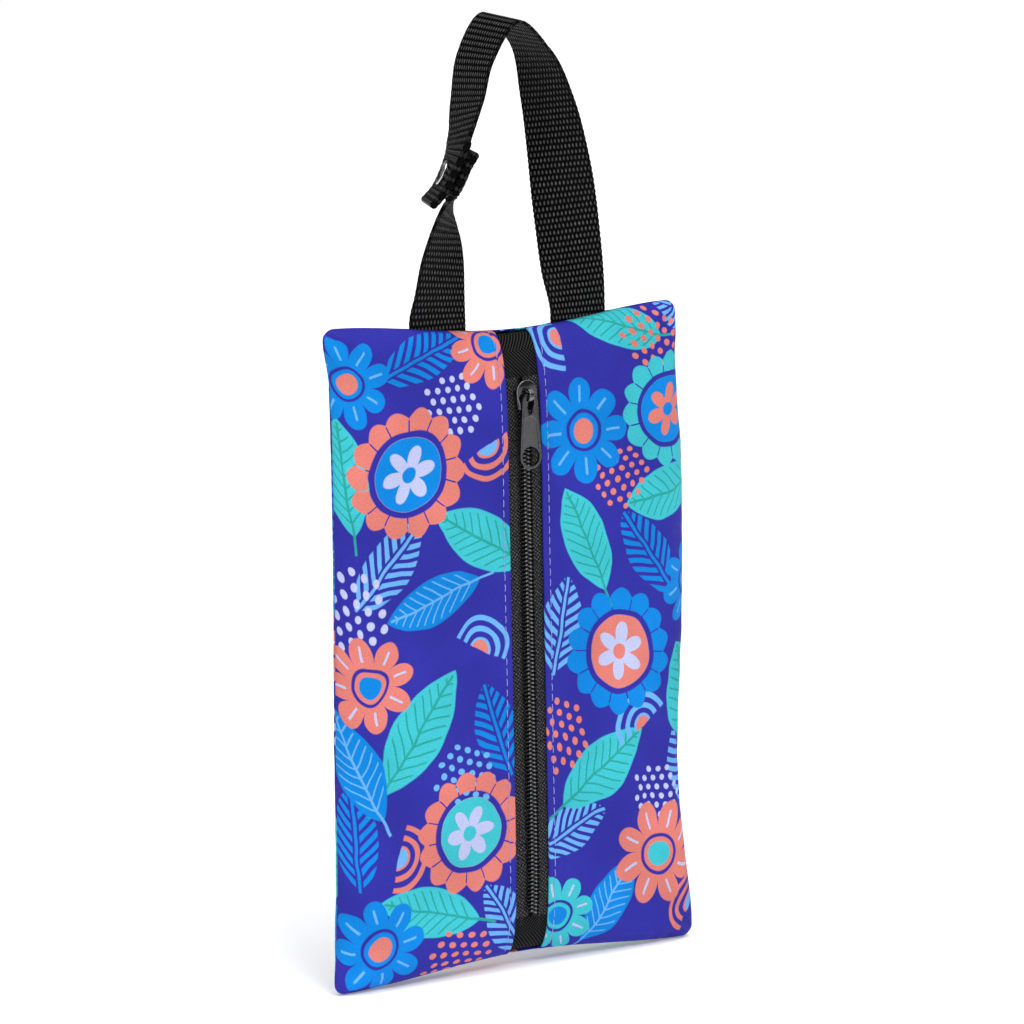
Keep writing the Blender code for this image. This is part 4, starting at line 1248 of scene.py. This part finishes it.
def draw_leaf(w, x, y, place):
    """A pointed leaf with a midrib and slanting veins."""
    past = lens(w, x, y, 0.44)
    shape = w.inside(past, 0.0, 0.02)
    wide = w.size(x)
    reach = w.size(w.math("ADD", y, 0.2))
    rib = w.times(w.inside(wide, 0.022, 0.015), w.inside(reach, 1.12, 0.02))
    slope = w.minus(y, w.times(wide, 0.9))
    vein = w.times(stripes(w, slope, 5.2, 0.20, 0.06), w.inside(past, -0.06, 0.02))
    return shape, w.math("MAXIMUM", rib, vein)


def draw_frond(w, x, y, place):
    """A stem with slanting leaflets on both sides."""
    wide = w.size(x)
    stem = w.times(w.inside(wide, 0.030, 0.015), w.inside(w.size(y), 0.97, 0.02))
    slope = w.minus(y, w.times(wide, 0.95))
    past = lens(w, x, y, 0.46)
    away = w.inside(w.minus(0.075, wide), 0.0, 0.015)
    leaflet = w.times(stripes(w, slope, 4.6, 0.56, 0.06), w.inside(past, 0.0, 0.02))
    return (w.math("MAXIMUM", stem, w.times(leaflet, away)),)


def draw_arcs(w, x, y, place):
    """Nested half rings over a small half disc."""
    reach = w.vector("LENGTH", place)
    above = w.inside(w.times(y, -1.0), 0.0, 0.03)
    rings = stripes(w, w.math("ADD", reach, 0.02), 3.6, 0.50, 0.08)
    inside = w.times(w.inside(reach, 1.0, 0.02), above)
    core = w.times(w.inside(reach, 0.26, 0.02), above)
    return w.times(rings, inside), core


def draw_dots(w, x, y, place):
    """Whole round dots in staggered columns, over a round patch."""
    pitch = 0.30
    column_at = w.math("FLOOR", w.math("DIVIDE", x, pitch))
    shifted = w.math("MULTIPLY_ADD", w.math("MODULO", w.math("ADD", column_at, 20.0), 2.0),
                     pitch/2, y)
    row_at = w.math("FLOOR", w.math("DIVIDE", shifted, pitch))
    dot_x = w.times(w.math("ADD", column_at, 0.5), pitch)
    dot_y = w.minus(shifted, w.times(w.math("ADD", row_at, 0.5), pitch))
    off = w.vector("LENGTH", w.join(w.minus(x, dot_x), dot_y))
    patch = w.vector("LENGTH", w.join(dot_x, w.minus(y, dot_y)))
    shape = w.times(w.inside(off, 0.088, 0.02), w.inside(patch, 0.88, 0.002))
    return (shape,)


def draw_rosette(w, x, y, place):
    """A scalloped ring, a disc inside it, and a six-pointed star."""
    reach, turn = polar(w, x, y, place)
    lobes = w.size(w.math("SINE", w.times(turn, 7.0)))
    rim = w.math("MULTIPLY_ADD", lobes, 0.13, 0.86)
    outer = w.inside(w.minus(reach, rim), 0.0, 0.02)
    ring = w.math("SUBTRACT", outer, w.inside(reach, 0.66, 0.02), clamp=True)
    slit = w.times(w.inside(w.times(lobes, reach), 0.075, 0.02), w.inside(reach, 0.84, 0.02))
    ring = w.math("SUBTRACT", ring, slit, clamp=True)
    disc = w.inside(reach, 0.56, 0.02)
    points = w.size(w.math("COSINE", w.times(turn, 3.0)))
    star = w.inside(w.minus(reach, w.math("MULTIPLY_ADD", points, 0.26, 0.18)), 0.0, 0.02)
    star = w.math("SUBTRACT", star, w.inside(reach, 0.12, 0.02), clamp=True)
    return w.math("MAXIMUM", ring, disc), disc, star


WHITE = (1.0, 1.0, 1.0, 1.0)
GROUND = paint(48, 47, 154)
CORAL = paint(214, 122, 112)
AZURE = paint(12, 128, 212)
SKY = paint(104, 170, 230)
TURQUOISE = paint(62, 186, 198)
VEIN_GREEN = paint(42, 156, 148)
LAVENDER = paint(184, 190, 228)

# Motifs in their order of printing.  Places are millimetres on the cloth: across from the zip's
# middle and up from the bottom seam, then turn in degrees, half width, half height, and the
# colour of each of the motif's masks
PRINT_CHART = {
    "frond": (
        (-61, 166, -42, 21, 21, SKY),
        (57, 160, 38, 21, 21, AZURE),
        (-15, 95, 18, 20, 20, AZURE),
        (15, 132, -12, 20, 20, SKY),
        (-77, 62, 4, 20, 20, AZURE),
        (17, 52, -64, 19, 19, SKY),
        (76, 72, 14, 20, 20, SKY),
        (-44, 243, -72, 20, 20, AZURE),
        (80, 252, 50, 18, 18, SKY),
        (-12, 20, 30, 19, 19, SKY),
    ),
    "leaf": (
        (-20, 170, 58, 24, 24, TURQUOISE, VEIN_GREEN),
        (-50, 100, -38, 27, 27, TURQUOISE, VEIN_GREEN),
        (68, 184, 102, 23, 23, TURQUOISE, VEIN_GREEN),
        (27, 166, 24, 22, 22, TURQUOISE, VEIN_GREEN),
        (-76, 90, 26, 22, 22, AZURE, SKY),
        (33, 76, -52, 24, 24, TURQUOISE, VEIN_GREEN),
        (76, 100, 12, 23, 23, TURQUOISE, VEIN_GREEN),
        (46, 250, 78, 22, 22, TURQUOISE, VEIN_GREEN),
        (-42, 150, 104, 21, 21, AZURE, SKY),
        (-46, 30, 70, 23, 23, TURQUOISE, VEIN_GREEN),
        (36, 22, -34, 20, 20, AZURE, SKY),
        (-78, 200, 8, 22, 22, TURQUOISE, VEIN_GREEN),
    ),
    "arcs": (
        (-17, 206, 204, 15, 15, CORAL, SKY),
        (53, 92, 36, 15, 15, SKY, CORAL),
        (-60, 54, -104, 15, 15, CORAL, SKY),
        (19, 244, 92, 14, 14, SKY, CORAL),
        (78, 16, 58, 14, 14, CORAL, SKY),
        (-22, 128, -30, 14, 14, SKY, CORAL),
        (80, 214, -80, 14, 14, CORAL, SKY),
    ),
    "dots": (
        (-76, 150, 10, 15, 19.5, LAVENDER),
        (44, 190, 40, 14, 12.6, CORAL),
        (-30, 80, 70, 13, 15.6, SKY),
        (14, 90, 15, 13, 16.9, CORAL),
        (-32, 8, 80, 13, 18.2, CORAL),
        (60, 64, 25, 13, 14.3, LAVENDER),
        (62, 244, 60, 14, 16.8, CORAL),
        (-32, 222, 30, 13, 15.6, LAVENDER),
    ),
    "bloom": (
        (-70, 122, 12, 19, 19, CORAL, LAVENDER, AZURE),
        (27, 208, 4, 21, 21, AZURE, SKY, CORAL),
        (60, 40, 20, 22, 22, CORAL, LAVENDER, TURQUOISE),
        (-68, 20, 8, 20, 20, AZURE, SKY, CORAL),
        (12, 18, 16, 17, 17, TURQUOISE, LAVENDER, AZURE),
        (-14, 244, 5, 18, 18, CORAL, LAVENDER, AZURE),
        (-76, 236, 14, 18, 18, AZURE, SKY, CORAL),
        (80, 146, 9, 17, 17, AZURE, SKY, CORAL),
    ),
    "rosette": (
        (-52, 200, 10, 25, 25, CORAL, AZURE, LAVENDER),
        (42, 122, 24, 25, 25, AZURE, CORAL, LAVENDER),
        (-28, 58, 5, 24, 24, CORAL, TURQUOISE, LAVENDER),
        (68, 216, 18, 23, 23, TURQUOISE, AZURE, CORAL),
    ),
}

# Each motif's drawing, and its masks from the lowest up
MOTIFS = {
    "bloom": (draw_bloom, ("Shape", "Marks", "Eye")),
    "leaf": (draw_leaf, ("Shape", "Marks")),
    "frond": (draw_frond, ("Shape",)),
    "arcs": (draw_arcs, ("Shape", "Eye")),
    "dots": (draw_dots, ("Shape",)),
    "rosette": (draw_rosette, ("Shape", "Marks", "Eye")),
}
BATCH = 6                  # motifs that the shader works out at one time


def build_print():
    """The all-over print, as one group from the cloth's map to its colour."""
    tree, w, given, out = new_group("cloth print", (("Cloth map", PLACE),),
                                    (("Colour", COLOUR),))
    groups = {kind: motif(kind + " motif", *how) for kind, how in MOTIFS.items()}
    sway = w.mottle(given["Cloth map"], 0.06, 1.0, 0.5, colour=True)
    sway = w.vector("MULTIPLY", w.vector("SUBTRACT", sway, (0.5, 0.5, 0.5)), (3.6, 3.6, 0.0))
    place = w.vector("ADD", given["Cloth map"], sway)
    colour = GROUND
    chart = [(kind, *row) for kind, rows in PRINT_CHART.items() for row in rows]
    for number, (kind, across, up, turn, wide, tall, *inks) in enumerate(chart, 1):
        if number % BATCH == 0:
            # Each batch waits for the colour under it, which keeps the shader's memory small
            place = w.vector("ADD", place, w.vector("MULTIPLY", colour, (1e-6, 1e-6, 0.0)))
        spot = w.node("ShaderNodeMapping", vector_type="TEXTURE")
        w.feed_named(spot.inputs, Vector=place, Location=(across, up, 0.0),
                     Rotation=(0.0, 0.0, math.radians(turn)), Scale=(wide, tall, 1.0))
        drawn = w.group(groups[kind], Place=spot.outputs[0])
        for mask, ink in zip(MOTIFS[kind][1], inks):
            colour = w.mix(drawn[mask], colour, ink)
    w.feed(out["Colour"], colour)
    return tree


# Materials

class Finish(Wiring):
    """Wiring of a new material, with its shader's sockets and its texture coordinates."""

    def __init__(self, name, base, roughness, metallic=0.0):
        self.material = bpy.data.materials.new(name)
        self.material.use_nodes = True
        self.material.diffuse_color = base
        super().__init__(self.material.node_tree)
        self.shader = self.tree.nodes["Principled BSDF"].inputs
        self.at = self.node("ShaderNodeTexCoord").outputs
        self.set(Base_Color=base, Roughness=roughness, Metallic=metallic)

    def set(self, **values):
        """Give each named socket of the shader its constant or its wire."""
        self.feed_named(self.shader, **values)

    def bump(self, height, depth, strength=1.0):
        """Feed a height to the shader's normal, depth being metres at height 1."""
        made = self.node("ShaderNodeBump")
        self.feed_named(made.inputs, Strength=strength, Distance=depth, Height=height)
        self.set(Normal=made.outputs[0])

    def shade(self, colour, amount, strength=0.18):
        """A colour darkened or lightened by a 0 to 1 value centred on a half."""
        grey = self.spread(amount, 0.0, 1.0, 0.0, 2.0)
        shaded = self.mix(1.0, colour, self.join(grey, grey, grey), "MULTIPLY")
        return self.mix(strength, colour, shaded)


def make_finishes():
    """Every material of the pouch, by name."""
    weave = build_plain_weave()
    dusting = build_dusting()
    pattern = build_print()
    made = {}

    w = made["cloth"] = Finish("printed_cloth", GROUND, 0.55)
    colour = w.group(pattern, Cloth_map=w.at["UV"])[0]
    fine = w.group(dusting, Place=w.at["UV"], Size=0.20)
    wide = w.mottle(w.at["UV"], 0.03, 2.0)
    grain = w.shade(colour, fine["Fine"], 0.42)
    w.set(Base_Color=w.shade(grain, wide, 0.30), Specular_IOR_Level=0.05,
          Roughness=w.spread(fine["Slow"], 0.3, 0.7, 0.44, 0.58))
    threads = w.group(weave, Place=w.at["UV"], Pitch=0.36)[0]
    uneven = w.mottle(w.at["UV"], 1.6, 3.0, 0.6)
    w.bump(w.math("ADD", threads, w.times(uneven, 0.8)), 0.00006, 0.8)

    for name, tone, roughness, grain, dark, light in (
            ("sewing_thread", paint(150, 152, 208), 0.5, 2200.0,
             paint(112, 114, 190), paint(168, 172, 226)),
            ("hem_thread", paint(30, 30, 32), 0.6, 2000.0,
             paint(20, 20, 22), paint(52, 52, 55))):
        w = made[name] = Finish(name, tone, roughness)
        twist = w.mottle(w.at["Object"], grain, 1.0)
        w.set(Base_Color=w.mix(twist, dark, light))
        w.bump(twist, 0.00006, 0.6)

    for name, tone, light, pitch in (("zip_tape", paint(2, 2, 2), paint(112, 112, 114), 1.10),
                                     ("tab_cloth", paint(8, 8, 8), paint(66, 66, 68), 0.50)):
        w = made[name] = Finish(name, tone, 0.72)
        slanted = w.node("ShaderNodeMapping")
        w.feed_named(slanted.inputs, Vector=w.at["UV"], Rotation=(0, 0, math.radians(38)))
        threads = w.group(weave, Place=slanted.outputs[0], Pitch=pitch)[0]
        fine = w.group(dusting, Place=w.at["UV"], Size=0.16)
        # Painted light: the tab's raised cords and the tape's thread crossings, with some random
        # speck, are painted light as a highlight, and the grooves between them dark as painted
        # shade
        if name == "tab_cloth":
            cords = w.math("POWER", w.spread(w.attribute("relief"), 0.15, 0.90), 1.8)
            painted_weave_light = w.mix(cords, paint(1, 1, 1), light)
        else:
            speck = w.times(threads, w.spread(fine["Fine"], 0.35, 0.65))
            painted_weave_light = w.mix(speck, tone, light)
        w.set(Base_Color=w.shade(painted_weave_light, fine["Fine"]), Specular_IOR_Level=0.05,
              Roughness=w.spread(fine["Slow"], 0.3, 0.7, 0.62, 0.80))
        w.bump(w.math("ADD", threads, w.times(fine["Fine"], 0.7)), 0.00018)

    w = made["coil"] = Finish("coil_nylon", paint(18, 18, 19), 0.24)
    fine = w.group(dusting, Place=w.at["Object"], Size=900.0)
    # Painted glint: the front-most part of each turn of the wire is painted light grey
    painted_glint = w.math("POWER", w.attribute("relief"), 9.0)
    tone = w.mix(fine["Slow"], paint(7, 7, 8), paint(18, 18, 19))
    w.set(Base_Color=w.mix(painted_glint, tone, paint(128, 128, 130)), Specular_IOR_Level=0.5,
          Roughness=w.spread(fine["Fine"], 0.3, 0.7, 0.16, 0.28))
    w.bump(fine["Fine"], 0.00002, 0.5)

    w = made["enamel"] = Finish("slider_enamel", paint(14, 14, 16), 0.16)
    fine = w.group(dusting, Place=w.at["Object"], Size=500.0)
    # Painted highlight: the bevel faces marked as edges are painted light grey
    painted_edge_highlight = w.times(w.attribute("edge"), w.spread(fine["Slow"], 0.3, 0.7, 0.45, 1.0))
    tone = w.mix(fine["Slow"], paint(5, 5, 6), paint(12, 12, 13))
    w.set(Base_Color=w.mix(painted_edge_highlight, tone, paint(112, 112, 114)), Coat_Weight=0.5,
          Coat_Roughness=0.08, Roughness=w.spread(fine["Fine"], 0.3, 0.75, 0.07, 0.17))
    w.bump(fine["Slow"], 0.00004, 0.4)

    w = made["metal"] = Finish("pull_metal", paint(112, 112, 114), 0.42, 1.0)
    fine = w.group(dusting, Place=w.at["Object"], Size=700.0)
    # Painted highlight: the bevel faces marked as edges are painted light grey
    painted_edge_highlight = w.times(w.attribute("edge"), w.spread(fine["Slow"], 0.3, 0.7, 0.55, 1.0))
    tone = w.mix(fine["Slow"], paint(66, 66, 68), paint(90, 90, 92))
    w.set(Base_Color=w.mix(painted_edge_highlight, tone, paint(178, 178, 180)),
          Roughness=w.spread(fine["Fine"], 0.25, 0.75, 0.27, 0.42))
    w.bump(fine["Fine"], 0.00002, 0.5)

    w = made["webbing"] = Finish("webbing", paint(34, 34, 36), 0.5)
    woven = w.group(build_floats(), Cloth_map=w.at["UV"])
    # Painted light: the floats' crests are painted light grey as a highlight, everything lower goes
    # to black as painted shade in the grooves, and the crest highlight is dimmed near the webbing's
    # edges
    raised = w.math("POWER", w.spread(woven["Height"], 0.62, 1.0), 1.7)
    strands = w.mix(w.spread(woven["Strands"], 0.3, 0.7), paint(16, 16, 17),
                    paint(112, 112, 114))
    across = w.size(w.split(w.at["UV"])[0])
    edge = STRAP_WIDTH/2/MM
    inner = w.spread(across, edge - 1.3, edge - 0.7, 1.0, 0.22)
    tone = w.mix(w.times(raised, inner), paint(0, 0, 0), strands)
    fine = w.group(dusting, Place=w.at["UV"], Size=0.25)
    w.set(Base_Color=w.shade(tone, fine["Slow"]), Specular_IOR_Level=0.06,
          Roughness=w.spread(woven["Strands"], 0.3, 0.7, 0.26, 0.44))
    w.bump(w.math("MULTIPLY_ADD", woven["Strands"], 0.35, woven["Height"]), FLOAT_BUMP)

    w = made["nickel"] = Finish("snap_nickel", paint(200, 200, 202), 0.2, 1.0)
    fine = w.group(dusting, Place=w.at["Object"], Size=600.0)
    w.set(Base_Color=w.mix(fine["Slow"], paint(186, 186, 188), paint(212, 211, 210)),
          Roughness=w.spread(fine["Fine"], 0.25, 0.75, 0.13, 0.30))

    w = made["floor"] = Finish("pale_floor", paint(250, 250, 250), 0.9)
    slow = w.mottle(w.at["Object"], 6.0, 2.0)
    w.set(Base_Color=w.mix(slow, paint(248, 248, 248), paint(252, 252, 252)),
          Emission_Color=WHITE, Emission_Strength=0.18)
    return {name: finish.material for name, finish in made.items()}


# Making

finishes = make_finishes()

panels = [front_half("front_cloth_left", -1, 11, finishes["cloth"]),
          front_half("front_cloth_right", 1, 17, finishes["cloth"])]
rear = back_cloth(finishes["cloth"])
topstitching(finishes["sewing_thread"])
tapes = [tape("tape_left", -1, finishes["zip_tape"]), tape("tape_right", 1, finishes["zip_tape"])]
coil(finishes["coil"])
coil_threads(finishes["zip_tape"])
tabs = [end_tab("tab_top", TOP_TAB_LENGTH, True, finishes["tab_cloth"]),
        end_tab("tab_bottom", BOTTOM_TAB_LENGTH, False, finishes["tab_cloth"])]
slider(finishes["enamel"])
pull(finishes["metal"])
for which in STRAPS:
    webbing(which, finishes["webbing"])
for which in STRAPS:
    hem_stitches(which, finishes["hem_thread"])
snap(finishes["nickel"], finishes["enamel"])


# Floor, light and camera

FLOOR_GAP = 0.0004
# Lamps: azimuth and height in degrees, width of the disc in degrees, and power
LAMPS = {
    "key": (-4.0, 46.0, 24.0, 1.25),
    "fill": (-70.0, 18.0, 40.0, 0.4),
    "top": (-30.0, 80.0, 40.0, 2.1),
    "glint_left": (-66.0, 34.0, 7.0, 0.22),
    "glint_right": (24.0, 44.0, 7.0, 0.22),
}
VIEW_AZIMUTH = -32.0
VIEW_ELEVATION = 8.6
VIEW_ROLL = math.radians(-1.14)
VIEW_DISTANCE = 1.80
VIEW_CENTRE = Vector((-0.00057, -0.00095, -0.18795))


def direction(azimuth, elevation):
    """Unit vector towards a place given in degrees, azimuth 0 being straight in front."""
    turn, height = math.radians(azimuth), math.radians(elevation)
    return Vector((math.sin(turn)*math.cos(height), -math.cos(turn)*math.cos(height),
                   math.sin(height)))


low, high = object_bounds()
bm = bmesh.new()
bmesh.ops.create_grid(bm, x_segments=4, y_segments=4, size=6.0)
bmesh.ops.translate(bm, verts=bm.verts, vec=(0, 0, low.z - FLOOR_GAP))
object_of("floor", bm, finishes["floor"])

world = bpy.data.worlds.new("studio")
world.use_nodes = True
w = Wiring(world.node_tree)
backdrop = world.node_tree.nodes["Background"]
w.feed(backdrop.inputs["Color"], WHITE)
seen = w.node("ShaderNodeLightPath").outputs["Is Camera Ray"]
w.feed(backdrop.inputs["Strength"], w.spread(seen, 0.0, 1.0, 0.18, 1.02))
bpy.context.scene.world = world
bpy.context.scene.view_settings.view_transform = "Standard"

for name, (azimuth, elevation, width, power) in LAMPS.items():
    light = bpy.data.lights.new(name, "SUN")
    light.energy = power
    light.angle = math.radians(width)
    lamp = bpy.data.objects.new(name, light)
    lamp.rotation_euler = direction(azimuth, elevation).to_track_quat("Z", "Y").to_euler()
    bpy.context.scene.collection.objects.link(lamp)

away = direction(VIEW_AZIMUTH, VIEW_ELEVATION)
level = Vector((-away.y, away.x, 0.0)).normalized()
above = away.cross(level)
right = level*math.cos(VIEW_ROLL) + above*math.sin(VIEW_ROLL)
up = above*math.cos(VIEW_ROLL) - level*math.sin(VIEW_ROLL)
view = bpy.data.cameras.new("camera")
view.lens = 165.0
view.sensor_width = 36.0
view.clip_end = 50.0
camera = bpy.data.objects.new("camera", view)
stand = Matrix((right, up, away)).transposed().to_4x4()
stand.translation = VIEW_CENTRE + away*VIEW_DISTANCE
camera.matrix_world = stand
bpy.context.scene.collection.objects.link(camera)
bpy.context.scene.camera = camera
